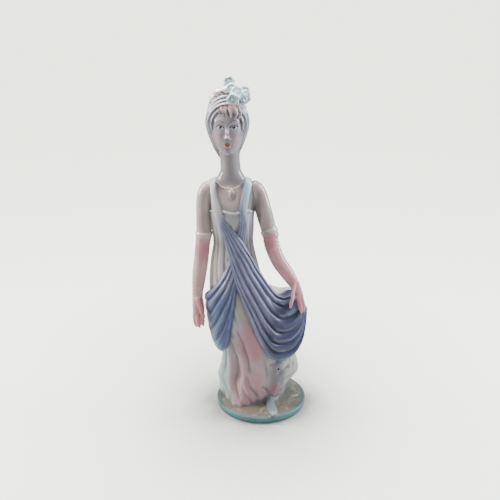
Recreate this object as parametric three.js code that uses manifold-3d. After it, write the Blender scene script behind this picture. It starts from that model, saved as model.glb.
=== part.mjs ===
// Porcelain lady figurine: one glazed casting with its round base, millimetres, +Z up, front towards -Y.
// The origin is the centre of the flat underside.

import {
  CatmullRomCurve3, Group, LatheGeometry, Mesh, MeshStandardMaterial, SphereGeometry, CylinderGeometry,
  BoxGeometry, BufferAttribute, BufferGeometry, Vector2, Vector3,
} from 'three';
import { LoftGeometry } from 'three/addons/geometries/LoftGeometry.js';
import { mergeVertices } from 'three/addons/utils/BufferGeometryUtils.js';
import Module from 'manifold-3d';

const wasm = await Module();
wasm.setup();

// Driving dimensions of the base
const BASE_RADIUS = 41.5;
const RIM_TOP = 7;
const GROUND_CROWN = 9;
const FOOT_RADIUS = 39.5;
const BASE_SIDES = 34;

// Mesh steps of the large forms
const GOWN_ROWS = 17;
const SKIN_ROWS = 4;
const SKIN_START = 0.7;
const LIMB_SIDES = 8;
const TIP = { reach: 0.75, size: 0.6 };
const FACET_TOLERANCE = 0.5;

// Turban and head
const HEAD_CENTRE = new Vector3(-29.2, -1, 260);
const BLOOM_PETALS = 5;
const PETAL_POINTS = 2;

// Vent hole left by the casting, through the skirt front
const VENT = { x: 15.3, y: -16.5, z: 43.4, radius: 1, depth: 9 };

// Gown and shoulders, level by level: height, centre x, half width, front depth, back depth
const GOWN = [
  [4, -3.6, 35, 22.6, 20],
  [14, -4, 36.6, 23, 20.6],
  [26, -3.6, 37, 22.8, 21.4],
  [40, -1.6, 35, 21.6, 22.5],
  [56, -3.5, 32, 21.5, 22.5],
  [76, -9, 30, 21, 21.5],
  [98, -17, 27.8, 19.5, 20.5],
  [120, -22.3, 23.8, 16.5, 18.5],
  [141, -24.4, 20.1, 13.2, 15],
  [158, -24.9, 17.1, 12, 11],
  [171, -25.3, 18, 13.4, 10.5],
  [182, -25.7, 18.9, 15, 11],
  [193, -25.6, 20, 13, 11],
  [203, -25.6, 21.4, 10.6, 10.5],
  [208, -25.7, 21.2, 9, 9.5],
  [212.4, -26, 17.6, 7.8, 8.5],
  [215.6, -26.3, 12, 6.8, 7.5],
];
const BODICE_SKIN = 0.8;
const NECKLINE = { left: -48, right: -4, bottom: 189, top: 222, depth: 30 };

// Pleat valleys of the skirt: angle at the hem, angle at the height where the pleats die out
const PLEATS = [
  [-164, -178], [-140, -158], [-97, -136], [-62, -82], [-14, -20], [30, 26], [54, 54], [80, 80], [106, 106],
  [132, 132], [158, 156],
];
const PLEAT_TOP = 104;
const PLEAT_DEPTH = 3.4;
const PLEAT_FLARE = 22;
const PLEAT_HEM = { share: 0.3, start: 8, end: 24 };
const PLEAT_STEP = 14;

// Hem on the ground: place round the skirt in degrees, x, y; and the heights where it blends into the rows above
const HEM = [
  [-180, -36, 0.6], [-160, -32.6, -8], [-141, -29, -15], [-124, -24.6, -21.6], [-114, -19.5, -25.2],
  [-104, -12.4, -24], [-92, -4.3, -20.6], [-76, 4, -18.6], [-65, 8.6, -17.2], [-56, 12, -14.2],
  [-33, 17.4, -6.6], [0, 21, 1], [24, 24, 9], [48, 24.6, 18], [70, 15, 24.4], [90, -1, 27], [113, -17, 25.6],
  [137, -33, 18.4], [160, -39.6, 9], [180, -36, 0.6],
];
const HEM_BLEND = { start: 10, end: 36 };

// Neck from the shoulders into the head: x, y, z, half width, half depth
const NECK = [
  [-26.4, 0.6, 207, 16, 8],
  [-26.4, 0.4, 213, 13, 8],
  [-26.5, 0.1, 217.6, 10.4, 7.9],
  [-26.6, -0.2, 222.5, 8.5, 7.7],
  [-27.2, -0.8, 233, 8.2, 8],
  [-28, -1, 246, 8.6, 8.6],
];

// Face and skull, level by level: height, centre x, centre y, half width, half depth
const HEAD = [
  [236.2, -28, -8.6, 2.4, 2.2],
  [237.6, -28, -7.9, 5.4, 5],
  [241, -28.1, -5.9, 8.8, 8.6],
  [246, -28.3, -4, 11.2, 11.7],
  [252, -28.6, -2.7, 12.8, 13.7],
  [259, -28.9, -1.8, 13.7, 15],
  [265, -29.1, -1.2, 13.8, 15.4],
  [270, -29.2, -0.6, 13, 14.4],
  [274, -29.2, 0.4, 11.4, 12.6],
  [279, -29.2, 1, 8, 9],
  [282, -29.2, 1.4, 4, 5],
];
const NOSE = [
  [-28.9, -15.6, 260.5, 1, 1],
  [-28.8, -17.2, 255, 1.5, 1.4],
  [-28.7, -18.2, 250.6, 2, 1.7],
  [-28.7, -16.4, 248.9, 1.4, 1],
];
const LIPS = [
  [-31.2, -14.6, 245.2, 0.5, 0.5],
  [-28.4, -15.7, 245, 1.3, 1],
  [-25.6, -14.6, 245.2, 0.5, 0.5],
];

// Hood of the turban, level by level: height, centre x, centre y, half width, half depth
const HOOD = [
  [229, -27.4, 3.6, 7.6, 5.6],
  [234, -27.8, 4, 9.6, 7.6],
  [240, -28.2, 4, 12, 9.8],
  [248, -28.8, 3.6, 15.4, 12.8],
  [256, -29.2, 3, 17.3, 15],
  [264, -29.3, 2.2, 17.6, 16.4],
  [272, -29.4, 1.2, 16.4, 16],
  [279, -29.6, 0.6, 13.6, 13.6],
  [284, -29.8, 0.4, 9.8, 9.8],
  [287, -30, 0.4, 5, 5],
];
const HOOD_TUCK = { side: 1.9, crown: 4.2, low: 266, high: 279 };

// Rolled bands round the face: half width, rise over the centre, depth at the brow and jaw, radius
const BANDS = [
  { reach: 14.4, rise: 15.6, brow: -12, jaw: -3.6, roll: 1.2 },
  { reach: 15.7, rise: 17.3, brow: -12.8, jaw: -1.6, roll: 1.25 },
  { reach: 16.3, rise: 19.9, brow: -11, jaw: 1, roll: 1.2 },
  { reach: 16.6, rise: 22.6, brow: -8.6, jaw: 3.8, roll: 1.6 },
];
const BAND_START = -72;
const BAND_STEPS = 11;
const BAND_DROP = 1.45;
const BAND_TAPER = 0.3;

// Soft puffs of cloth on the crown: x, y, z, radii
const PUFFS = [
  [-34.6, -4.2, 285, 5.8, 5, 4.2],
  [-29.4, -4.8, 287.4, 5, 5, 3.6],
  [-39.6, -2.6, 280.6, 3.6, 5, 3.8],
  [-25, 2.5, 286, 5, 5, 4],
  [-34, 5, 284.5, 5.6, 5.4, 4],
];

// Flowers: x, y, z, petal reach, and the direction each one faces
const BLOOMS = [
  [-27.1, -5, 294, 4.7, [0, -1, 0.25]],
  [-25, -7.6, 288.8, 4.4, [-0.1, -1, 0.3]],
  [-20.6, -9.2, 285.4, 5.4, [0.1, -1, 0.5]],
  [-23.7, -12, 280.6, 5.2, [-0.2, -1, 0]],
  [-14.9, -7, 286.4, 4.9, [0.4, -1, 0.5]],
  [-13.9, -6.4, 281.2, 4.5, [0.6, -1, -0.1]],
];
// Half section of a bloom, as shares of its reach: radius, lift towards the viewer, depth of the petal notches
const BLOOM_PROFILE = [
  [0.3, -0.5, 0], [0.94, 0.06, 0.14], [0.66, 0.36, 0.08], [0.26, 0.1, 0],
];
const FLOWER_STEM = [
  [-29.4, 0, 282, 7.4, 6],
  [-27.8, -0.8, 288.6, 4.6, 4.4],
  [-27.2, -1.6, 294.4, 2.8, 2.6],
];
const FLOWER_BED = [
  [-24.4, -6.4, 282, 4.4, 4.6],
  [-19.6, -4.6, 284.6, 5.4, 4.6],
  [-14.6, -3, 283.6, 4, 4],
];

// Fringe locks on the forehead: each one a row of x, y, z, half width, half depth
const LOCKS = [
  [[-35.6, -12.2, 274.6, 1.1, 0.8], [-35.4, -13.9, 272, 1.1, 0.7], [-34.6, -14.8, 270.2, 0.5, 0.4]],
  [[-32.9, -13, 275.6, 1.3, 0.9], [-32.5, -15.1, 272.6, 1.3, 0.8], [-31.4, -15.9, 270, 0.5, 0.4]],
  [[-30.2, -13.4, 276, 1.4, 0.9], [-29.8, -15.6, 272.6, 1.4, 0.9], [-29, -16.4, 269.6, 0.9, 0.6], [-28.2, -16.6, 267.8, 0.4, 0.4]],
  [[-27.4, -13.4, 276.2, 1.5, 1], [-26, -15.8, 273, 1.7, 1.1], [-25.2, -16.9, 269.6, 1.3, 0.9], [-25.6, -17, 267.2, 0.5, 0.5]],
  [[-25, -13.2, 276.4, 1.6, 1.1], [-22.8, -15.4, 273.4, 1.9, 1.3], [-21.4, -16.4, 270, 1.6, 1.1], [-22.4, -16.7, 267.2, 0.6, 0.6]],
  [[-23, -12.8, 276, 1.7, 1.2], [-19.8, -13.8, 273.4, 1.9, 1.3], [-18.4, -13.9, 269.8, 1.7, 1.2], [-19.4, -14.9, 267, 1.2, 1], [-21.6, -15.9, 266, 0.6, 0.6]],
];

// Necklace and its drop
const CHAIN = [
  [-39, -6, 213.6, 0.6, 0.8],
  [-34.5, -8.6, 209.6, 0.6, 0.8],
  [-29.6, -9.9, 208, 0.6, 0.8],
  [-25.4, -10.2, 207.8, 0.6, 0.8],
  [-20.6, -9.4, 209.2, 0.6, 0.8],
  [-15.8, -6.6, 213.2, 0.6, 0.8],
];
const DROP = [-25.8, -10.7, 203, 2.8, 1.8, 4.4];

// Arms: x, y, z, half width, half depth
const RIGHT_ARM = [
  [-42, 0.8, 209.4, 4, 5],
  [-46.8, 0.8, 204.6, 6.4, 6.4],
  [-49.6, 0.6, 195, 6.5, 6.2],
  [-49.9, 0.4, 178, 6.7, 6.2],
  [-50.4, 0.2, 166, 6.5, 6.2],
  [-51.7, -0.4, 155, 6.4, 6.3],
  [-53.2, -1.4, 141, 6.4, 6.1],
  [-55.3, -3, 127, 6.2, 5.7],
  [-57.1, -4.6, 113, 5.1, 4.6],
  [-57.4, -6, 105, 4.7, 3.8],
];
const LEFT_ARM = [
  [-9.4, 0.8, 209.6, 4, 5],
  [-4.8, 0.8, 204.4, 6.4, 6.4],
  [-1.1, 0.4, 194.6, 6.9, 6.3],
  [2.5, 0, 181, 7, 6.2],
  [6.2, -0.4, 167, 6.5, 6.1],
  [9, -1.2, 154, 6.5, 6.2],
  [14.6, -3, 141, 6.4, 6],
  [22.3, -5, 130, 5.9, 5.4],
  [28.6, -6.4, 120.4, 4.7, 4.2],
  [31, -7.4, 114, 4.6, 3.8],
];
const RIGHT_CUFF = [
  [-50.4, 0.2, 167.6, 6.4, 6.2],
  [-50.4, 0.2, 166.8, 7.1, 6.9],
  [-50.5, 0.2, 165.2, 7.4, 7.2],
  [-50.6, 0.1, 163.6, 7.1, 6.9],
  [-50.7, 0.1, 162.8, 6.4, 6.2],
];
const LEFT_CUFF = [
  [5.4, -0.3, 169.9, 6.5, 6.2],
  [5.7, -0.4, 169.1, 7.3, 6.9],
  [6.3, -0.4, 167.5, 7.6, 7.2],
  [6.9, -0.5, 165.9, 7.3, 6.9],
  [7.2, -0.6, 165.1, 6.5, 6.2],
];
const CUFF_SIDES = 8;

// Right hand, hanging by the thigh with curled fingers
const RIGHT_HAND = [
  [[-57.4, -5.6, 108, 4.8, 3.6], [-57.2, -6.6, 101, 5.6, 3.7], [-56.6, -7, 95, 5.5, 3.4], [-56.2, -6.6, 91.5, 4.8, 2.8]],
  [[-57, -8.6, 109, 2, 2], [-54.6, -11, 101.4, 2.1, 2], [-52.4, -12.4, 95, 1.9, 1.8], [-51.4, -12.6, 91.6, 1.5, 1.5]],
  [[-59.6, -6, 97, 2, 2], [-60.2, -7.4, 90, 1.9, 2], [-59.6, -7.8, 84, 1.7, 1.8], [-58.6, -6.8, 80.4, 1.2, 1.3]],
  [[-57.2, -7.4, 96, 2, 2], [-57, -9.2, 89, 2, 2], [-56.4, -9.2, 83, 1.8, 1.8], [-55.6, -7.6, 80, 1.2, 1.3]],
  [[-54.4, -7, 95, 2, 2], [-53.4, -8.6, 89, 1.9, 2], [-52.8, -8.4, 84, 1.7, 1.8], [-52.4, -6.8, 81, 1.2, 1.3]],
  [[-55, -4.6, 96, 2, 2], [-53.4, -5, 89, 1.9, 2], [-52.4, -4.4, 83.6, 1.4, 1.6]],
];

// Left hand, holding the lifted cloth between thumb and fingers
const LEFT_HAND = [
  [[30.4, -7.2, 116, 4.6, 3.4], [31.4, -8.4, 110.4, 5.2, 3.4], [33, -8.8, 105.6, 4.4, 3]],
  [[28.4, -9.4, 121, 1.8, 1.8], [27.4, -13, 116.4, 1.7, 1.7], [26.4, -16, 110.6, 1.6, 1.6], [25.2, -17.2, 105.6, 1.5, 1.5], [24.9, -17.2, 103.4, 1.2, 1.2]],
  [[31.6, -10, 111, 2.1, 1.9], [33, -12, 105, 2, 1.9], [34.2, -12.8, 100, 1.8, 1.7], [34.9, -12.4, 95.6, 1, 1]],
  [[34, -9, 111, 2.1, 1.9], [36, -10.4, 105, 2, 1.9], [36.9, -10.6, 100, 1.8, 1.7], [37, -10, 96.4, 1, 1]],
];

// Pointed shoe under the hem: x, y, z, half width, half height
const SHOE = [
  [7.2, -12, 9, 4.2, 4.2],
  [8, -19, 8.7, 4.6, 4.4],
  [9, -27, 8.5, 4.9, 4.1],
  [10, -33, 8.3, 4.9, 3.5],
  [10.5, -36.4, 8.2, 4.3, 3],
  [10.8, -38.2, 8.1, 3, 2.3],
];
const SHOE_SIDES = 9;

// Low swelling of the ground behind the shoe: x, y, z, radii
const GROUND_SWELL = [28.4, 0.4, 7.4, 8.2, 7.4, 1.7];

// Shawl panels. Each row: upper edge x, y, z, lower edge x, y, z, front swell, back depth, fold height
const FRONT_DRAPE = {
  side: 1,
  rows: [
    [-36.6, 7, 210.6, -43.4, 7, 207.4, 1, 3, 0.3],
    [-38, 0, 215.2, -44.2, 0, 212.2, 1.2, 3, 0.5],
    [-39, -6.8, 211.4, -43.6, -5.6, 207.6, 1.4, 3, 0.6],
    [-38.4, -10.6, 201.8, -42.6, -8.4, 199, 1.4, 3, 0.7],
    [-35, -13.4, 190.3, -41.4, -9.6, 188.5, 1.2, 3, 0.8],
    [-29, -14, 179.6, -37.3, -11.6, 179.6, 1.4, 3, 0.9],
    [-21.8, -13.4, 170, -34, -11.8, 168.6, 1.8, 3, 1],
    [-14.6, -12.8, 159, -30.6, -12.6, 155, 2.4, 3.4, 1.2],
    [-8.4, -12, 147.8, -27, -15.4, 140, 2.8, 4, 1.4],
    [-3.2, -12.4, 138, -22.6, -18.8, 124.5, 3.2, 5, 1.7],
    [2, -13, 129.8, -17, -21, 109.6, 3.4, 7, 2],
    [7, -13.2, 122, -10, -22.6, 92.5, 3.8, 9, 2.3],
    [12, -13, 115.6, -3, -22.8, 73.5, 4.2, 11, 2.5],
    [17.6, -12.4, 112.8, 6.4, -20.6, 55.8, 4.4, 12, 2.6],
    [22.2, -11.4, 113.6, 18, -16.6, 50.4, 4.2, 12, 2.5],
    [25.8, -10.4, 115.6, 29, -10.8, 53.4, 3.6, 11, 2.3],
    [28.4, -8.6, 115.8, 36.2, -6, 64, 2.8, 9, 2],
    [30.6, -6.6, 112, 39.6, -2.8, 80, 2, 7, 1.5],
    [33.4, -4.8, 108.4, 40.9, -0.8, 95, 1.4, 5.4, 0.8],
  ],
  valleysStart: [0.14, 0.34, 0.54, 0.74, 0.9, 0.96],
  valleysEnd: [0.045, 0.15, 0.34, 0.54, 0.715, 0.86],
  steps: 21,
};
const SIDE_DRAPE = {
  side: -1,
  rows: [
    [-16, 7, 210.6, -9, 7, 207.4, 1, 3, 0.3],
    [-15.2, 0, 215.2, -8.8, 0, 212.2, 1.2, 3, 0.5],
    [-15.2, -6.8, 211.4, -9.4, -5.8, 207.8, 1.4, 3, 0.6],
    [-17.6, -11.2, 201.6, -11.2, -9.4, 200.6, 1.4, 3, 0.7],
    [-19.4, -13.8, 189, -12.9, -10.8, 188, 1.2, 3, 0.8],
    [-21, -13.4, 173, -13.4, -9.8, 172, 1.4, 3, 0.9],
    [-24.4, -12.6, 158.5, -15.2, -10.2, 154, 1.6, 3, 1],
    [-28, -13.8, 146.5, -18.8, -13.6, 138, 1.8, 3.4, 1.2],
    [-32, -14.8, 136, -22, -17.4, 120.4, 2.4, 4, 1.5],
    [-37, -14, 127, -24, -20.4, 103, 3, 5, 1.8],
    [-42.6, -11, 119, -27.4, -20.4, 83.5, 3.8, 6, 2.1],
    [-47.2, -5.6, 113.4, -31.8, -17.6, 66.4, 4.2, 6, 1.9],
    [-49.2, 0.4, 110.4, -36.2, -12.4, 57.6, 4, 6, 1.3],
    [-48.4, 7, 109, -42.4, -4, 64.4, 3.4, 6, 0.8],
    [-44.6, 14, 108, -45, 8, 73, 2.4, 6, 0.5],
  ],
  valleysStart: [0.27, 0.54, 0.8, 0.93],
  valleysEnd: [0.14, 0.34, 0.57, 0.8],
  steps: 14,
};
const BACK_DRAPE = {
  side: 1,
  rows: [
    [37.6, -2, 101, 39.6, -2, 88, 1, 4, 0.6],
    [36, 3, 104, 38.6, 4.6, 74, 1.6, 6, 1.2],
    [31.4, 6, 111.6, 35, 12, 60, 2.4, 9, 1.7],
    [24.4, 6.4, 113.4, 28, 18, 51, 3, 11, 2],
    [16, 7, 112.6, 18, 23.4, 47, 3, 12, 2.2],
    [6, 10, 114.6, 6, 25.4, 47, 2.8, 11, 2.2],
    [-6, 15.6, 116, -7, 25, 49, 2.6, 9, 2.2],
    [-18, 17.6, 115, -20, 22.6, 51.5, 2.4, 8, 2],
    [-29, 18, 112, -30, 18, 54, 2.2, 7, 1.8],
    [-38, 16, 109, -38, 13, 60, 2, 6, 1.2],
    [-43, 13, 107, -42, 9, 68, 1.2, 6, 0.4],
  ],
  valleysStart: [0.26, 0.52, 0.78],
  valleysEnd: [0.26, 0.52, 0.78],
  steps: 9,
};
const NAPE_DRAPE = {
  side: 1,
  rows: [
    [-13, 2, 213.6, -6.6, 2, 206, 0.8, 3, 0.4],
    [-14, 6.6, 210.6, -7.6, 9, 197, 1.2, 3, 0.8],
    [-18, 9.6, 208.6, -14.6, 11.6, 186, 1.4, 3, 1.1],
    [-26, 10.4, 206, -25.6, 11.6, 178, 1.6, 3, 1.3],
    [-34, 9.6, 208.6, -37, 11.6, 186, 1.4, 3, 1.1],
    [-38.4, 6.6, 210.6, -44.4, 9, 197, 1.2, 3, 0.8],
    [-39.6, 2, 213.6, -45.4, 2, 206, 0.8, 3, 0.4],
  ],
  valleysStart: [0.28, 0.6],
  valleysEnd: [0.28, 0.6],
  steps: 6,
};
const FOLD_DEPTH = 1.35;
const RIDGE_POINTS = 2;
const LINING_POINTS = 2;
const UP = new Vector3(0, 0, 1);
const DEPTH = new Vector3(0, 1, 0);

// A smooth value between four neighbours of a table column
function blend(before, start, end, after, part) {
  const pull = 0.5 * (end - before);
  const push = 0.5 * (after - start);
  const gap = start - end;
  return ((2 * gap + pull + push) * part - 3 * gap - 2 * pull - push) * part * part + pull * part + start;
}

// One row of values at a place from 0 to 1 along a table of rows
function rowAt(table, place) {
  const last = table.length - 1;
  const position = Math.min(Math.max(place, 0), 1) * last;
  const index = Math.min(Math.floor(position), last - 1);
  const near = [-1, 0, 1, 2].map((step) => table[Math.min(Math.max(index + step, 0), last)]);
  return table[0].map((_, column) => blend(...near.map((row) => row[column]), position - index));
}

// 0 below low, 1 above high, smooth between
function smoothStep(low, high, value) {
  const share = Math.min(Math.max((value - low) / (high - low), 0), 1);
  return share * share * (3 - 2 * share);
}

// Height of a rounded fold between sharp valleys: 0 in a valley, 1 on the crest
function foldHeight(position, valleys) {
  let from = valleys[0];
  for (const to of valleys.slice(1)) {
    if (position <= to) return Math.max(Math.sin(Math.PI * (position - from) / (to - from)), 0) ** 0.7;
    from = to;
  }
  return 0;
}

// Closed solid from a geometry, its faces turned outwards
function solidOf(geometry) {
  geometry.deleteAttribute('normal');
  geometry.deleteAttribute('uv');
  const merged = mergeVertices(new BufferGeometry().copy(geometry), 1e-4);
  const positions = merged.getAttribute('position');
  const indices = merged.index.array;
  const kept = [];
  for (let face = 0; face < indices.length; face += 3) {
    const [first, second, third] = indices.slice(face, face + 3);
    if (first !== second && second !== third && third !== first) kept.push(first, second, third);
  }
  const faces = Uint32Array.from(kept);
  const corner = (place) => new Vector3().fromBufferAttribute(positions, faces[place]);
  let volume = 0;
  for (let face = 0; face < faces.length; face += 3) {
    volume += corner(face).dot(corner(face + 1).cross(corner(face + 2)));
  }
  if (volume < 0) faces.reverse();
  const mesh = new wasm.Mesh({ numProp: 3, vertProperties: Float32Array.from(positions.array), triVerts: faces });
  return new wasm.Manifold(mesh);
}

// One solid made of many
function joined(solids) {
  return solids.reduce((whole, next) => whole.add(next));
}

// Section drawn together to its middle, which closes the end of a loft
function closingSection(section) {
  const middle = section.reduce((sum, point) => sum.add(point), new Vector3()).divideScalar(section.length);
  return section.map(() => middle);
}

// Solid through closed sections
function lofted(sections) {
  const closed = [closingSection(sections[0]), ...sections, closingSection(sections[sections.length - 1])];
  return solidOf(new LoftGeometry(closed, { closed: true }));
}

// Ellipsoid at a place: x, y, z, radius x, radius y, radius z
function pebble([x, y, z, radiusX, radiusY, radiusZ], sides = 12) {
  const geometry = new SphereGeometry(1, sides, Math.round(sides * 0.6));
  geometry.scale(radiusX, radiusY, radiusZ).translate(x, y, z);
  return solidOf(geometry);
}

// Limb with an oval section along a smooth line of stations
function limb(stations, { sides = LIMB_SIDES, rows = stations.length * 2, reference = DEPTH } = {}) {
  const curve = new CatmullRomCurve3(stations.map(([x, y, z]) => new Vector3(x, y, z)));
  const sections = [];
  for (let row = 0; row <= rows; row += 1) {
    const place = row / rows;
    const [, , , halfWidth, halfDepth] = rowAt(stations, place);
    const centre = curve.getPoint(place);
    const across = curve.getTangent(place).cross(reference).normalize();
    const deep = across.clone().cross(curve.getTangent(place)).normalize();
    const ring = [];
    for (let side = 0; side < sides; side += 1) {
      const angle = 2 * Math.PI * side / sides;
      ring.push(centre.clone()
        .addScaledVector(across, halfWidth * Math.cos(angle))
        .addScaledVector(deep, halfDepth * Math.sin(angle)));
    }
    sections.push(ring);
  }
  return lofted(sections);
}

// Stations with a rounded end added after the last one
function roundedTip(stations) {
  const [x, y, z, halfWidth, halfDepth] = stations[stations.length - 1];
  const last = new Vector3(x, y, z);
  const ahead = last.clone().sub(new Vector3(...stations[stations.length - 2].slice(0, 3))).normalize();
  const tip = last.addScaledVector(ahead, halfWidth * TIP.reach);
  return [...stations, [tip.x, tip.y, tip.z, halfWidth * TIP.size, halfDepth * TIP.size]];
}

// Stack of level oval rings: height, centre x, centre y, half width, half depth
function stacked(table, rows, sides, shape = (point) => point) {
  const sections = [];
  for (let row = 0; row <= rows; row += 1) {
    const [height, centreX, centreY, halfWidth, halfDepth] = rowAt(table, row / rows);
    const ring = [];
    for (let side = 0; side < sides; side += 1) {
      const angle = 2 * Math.PI * side / sides;
      ring.push(shape(new Vector3(
        centreX + halfWidth * Math.cos(angle), centreY + halfDepth * Math.sin(angle), height), angle));
    }
    sections.push(ring);
  }
  return lofted(sections);
}

// Base disc with its rounded rim and gently domed ground
function baseDisc() {
  const profile = [
    [0, 0], [FOOT_RADIUS, 0], [BASE_RADIUS - 0.4, 1.2], [BASE_RADIUS, RIM_TOP - 1.4],
    [BASE_RADIUS - 1.4, RIM_TOP], [0, GROUND_CROWN],
  ].map(([radius, height]) => new Vector2(radius, height));
  return solidOf(new LatheGeometry(profile, BASE_SIDES).rotateX(Math.PI / 2));
}

// Angles of the pleat valleys at a height, once round
function pleatValleys(height) {
  const flare = 1 - Math.exp(-height / PLEAT_FLARE);
  const valleys = PLEATS.map(([hem, top]) => hem + (top - hem) * flare);
  return [...valleys, valleys[0] + 360];
}

// Pleat relief of the skirt at an angle in degrees and a height
function pleatRelief(angle, height) {
  const rise = Math.min(Math.max(height / PLEAT_TOP, 0), 1);
  const { share, start, end } = PLEAT_HEM;
  const amount = PLEAT_DEPTH * (share + (1 - share) * smoothStep(start, end, height)) * (1 - rise) ** 0.6;
  return amount * (foldHeight(angle, pleatValleys(height)) - 0.7);
}

// Ring angles: every valley, and even steps across the pleat after it
function ringAngles(height) {
  const valleys = pleatValleys(height);
  return PLEATS.flatMap(([, top], index) => {
    const next = index + 1 < PLEATS.length ? PLEATS[index + 1][1] : PLEATS[0][1] + 360;
    const count = Math.max(Math.round((next - top) / PLEAT_STEP), 2);
    return Array.from({ length: count }, (_, step) => (
      valleys[index] + (valleys[index + 1] - valleys[index]) * step / count));
  });
}

// Point of the hem on the ground at an angle in degrees
function hemPoint(degrees) {
  const turned = degrees > 180 ? degrees - 360 : degrees;
  const index = Math.max(HEM.findIndex(([place]) => place >= turned), 1);
  const [from, to] = [HEM[index - 1], HEM[index]];
  const part = (turned - from[0]) / (to[0] - from[0]);
  return [from[1] + (to[1] - from[1]) * part, from[2] + (to[2] - from[2]) * part];
}

// Gown from the ground to the shoulders
function gown(shrink, bottomRow, rows) {
  const sections = [];
  for (let row = 0; row <= rows; row += 1) {
    const place = bottomRow + (1 - bottomRow) * row / rows;
    const [height, centreX, halfWidth, front, back] = rowAt(GOWN, place);
    const toHem = 1 - smoothStep(HEM_BLEND.start, HEM_BLEND.end, height);
    sections.push(ringAngles(height).map((degrees) => {
      const [side, deep] = [Math.cos(degrees * Math.PI / 180), Math.sin(degrees * Math.PI / 180)];
      const relief = pleatRelief(degrees, height) - shrink;
      const [hemX, hemY] = hemPoint(degrees);
      const x = centreX + halfWidth * side;
      const y = (deep < 0 ? front : back) * deep;
      return new Vector3(
        x + (hemX - x) * toHem + relief * side, y + (hemY - y) * toHem + relief * deep, height);
    }));
  }
  return lofted(sections);
}

// Bodice with its square neckline, over the bare shoulders
function figureBody() {
  const width = NECKLINE.right - NECKLINE.left;
  const tall = NECKLINE.top - NECKLINE.bottom;
  const opening = new BoxGeometry(width, NECKLINE.depth, tall);
  opening.translate(NECKLINE.left + width / 2, -NECKLINE.depth / 2, NECKLINE.bottom + tall / 2);
  const skin = gown(BODICE_SKIN, SKIN_START, SKIN_ROWS);
  return gown(0, 0, GOWN_ROWS).subtract(solidOf(opening)).add(skin);
}

// Closed section of a shawl panel: folded outer face, plain lining
function panelSection(row, outward, valleys) {
  const [ux, uy, uz, lx, ly, lz, swell, depth, fold] = row;
  const upper = new Vector3(ux, uy, uz);
  const lower = new Vector3(lx, ly, lz);
  const edges = [0, ...valleys, 1];
  const outer = [];
  for (let index = 1; index < edges.length; index += 1) {
    for (let point = 0; point < RIDGE_POINTS; point += 1) {
      const place = edges[index - 1] + (edges[index] - edges[index - 1]) * point / RIDGE_POINTS;
      const arch = Math.sqrt(Math.max(1 - (2 * place - 1) ** 2, 0));
      const lift = swell * arch + fold * (FOLD_DEPTH * foldHeight(place, edges) - 0.4 - 0.3 * (FOLD_DEPTH - 1));
      outer.push(upper.clone().lerp(lower, place).addScaledVector(outward, lift));
    }
  }
  outer.push(lower.clone());
  const lining = [];
  for (let point = 0; point < LINING_POINTS; point += 1) {
    const place = 1 - point / (LINING_POINTS - 1);
    const inset = 0.04 + 0.92 * place;
    lining.push(upper.clone().lerp(lower, inset).addScaledVector(outward, -depth));
  }
  return [...outer, ...lining];
}

// Shawl panel following its rows of edges
function shawlPanel({ side, rows, valleysStart, valleysEnd, steps }) {
  const middle = (row) => new Vector3(row[0] + row[3], row[1] + row[4], row[2] + row[5]).multiplyScalar(0.5);
  const sections = [];
  for (let step = 0; step <= steps; step += 1) {
    const place = step / steps;
    const row = rowAt(rows, place);
    const along = middle(rowAt(rows, place + 0.01)).sub(middle(rowAt(rows, place - 0.01)));
    const across = new Vector3(row[0] - row[3], row[1] - row[4], row[2] - row[5]);
    const outward = along.cross(across).normalize().multiplyScalar(side);
    const spread = Math.min(Math.max((place - 0.35) / 0.35, 0), 1);
    const valleys = valleysStart.map((valley, index) => valley + (valleysEnd[index] - valley) * spread);
    sections.push(panelSection(row, outward, valleys));
  }
  return lofted(sections);
}

// Cloth between the lifted front and back of the overskirt, below its open top
function overskirtCore() {
  return joined([
    pebble([20, -3, 82, 19, 13, 26], 10),
    pebble([-2, 0, 80, 30, 20, 26], 10),
  ]);
}

// Point of the hood drawn in under the bands at its front
function tuckedHood(point, angle) {
  const ahead = smoothStep(-0.35, 0.3, -Math.sin(angle));
  point.x -= HOOD_TUCK.side * Math.cos(angle) * ahead;
  point.y -= HOOD_TUCK.crown * smoothStep(HOOD_TUCK.low, HOOD_TUCK.high, point.z) * Math.sin(angle) * ahead;
  return point;
}

// Rolled band of the turban, from jaw to jaw over the brow
function turbanBand({ reach, rise, brow, jaw, roll }) {
  const stations = [];
  for (let step = 0; step <= BAND_STEPS; step += 1) {
    const turn = BAND_START + (180 - 2 * BAND_START) * step / BAND_STEPS;
    const angle = turn * Math.PI / 180;
    const height = Math.sin(angle) < 0 ? rise * BAND_DROP * Math.sin(angle) : rise * Math.sin(angle);
    const blendUp = (Math.sin(angle) + 1) / 2;
    const span = reach * (1 - BAND_TAPER * Math.max(-Math.sin(angle), 0));
    const radius = roll * (0.55 + 0.45 * Math.min(blendUp * 2, 1));
    stations.push([
      HEAD_CENTRE.x + 0.4 + span * Math.cos(angle), jaw + (brow - jaw) * blendUp, HEAD_CENTRE.z + height,
      radius, radius * 1.2,
    ]);
  }
  return limb(stations, { sides: 4, rows: BAND_STEPS });
}

// Five rounded petals round a button, as one dished rosette
function bloom([x, y, z, reach, facing]) {
  const centre = new Vector3(x, y, z);
  const face = new Vector3(...facing).normalize();
  const right = face.clone().cross(UP).normalize();
  const top = right.clone().cross(face).normalize();
  const rings = BLOOM_PROFILE.map(([radius, lift, lobe]) => {
    const ring = [];
    for (let point = 0; point < BLOOM_PETALS * PETAL_POINTS; point += 1) {
      const angle = 2 * Math.PI * point / (BLOOM_PETALS * PETAL_POINTS);
      const span = reach * radius * (1 - lobe * Math.cos(BLOOM_PETALS * angle));
      ring.push(centre.clone()
        .addScaledVector(right, span * Math.cos(angle))
        .addScaledVector(top, span * Math.sin(angle))
        .addScaledVector(face, reach * lift));
    }
    return ring;
  });
  return lofted(rings);
}

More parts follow.
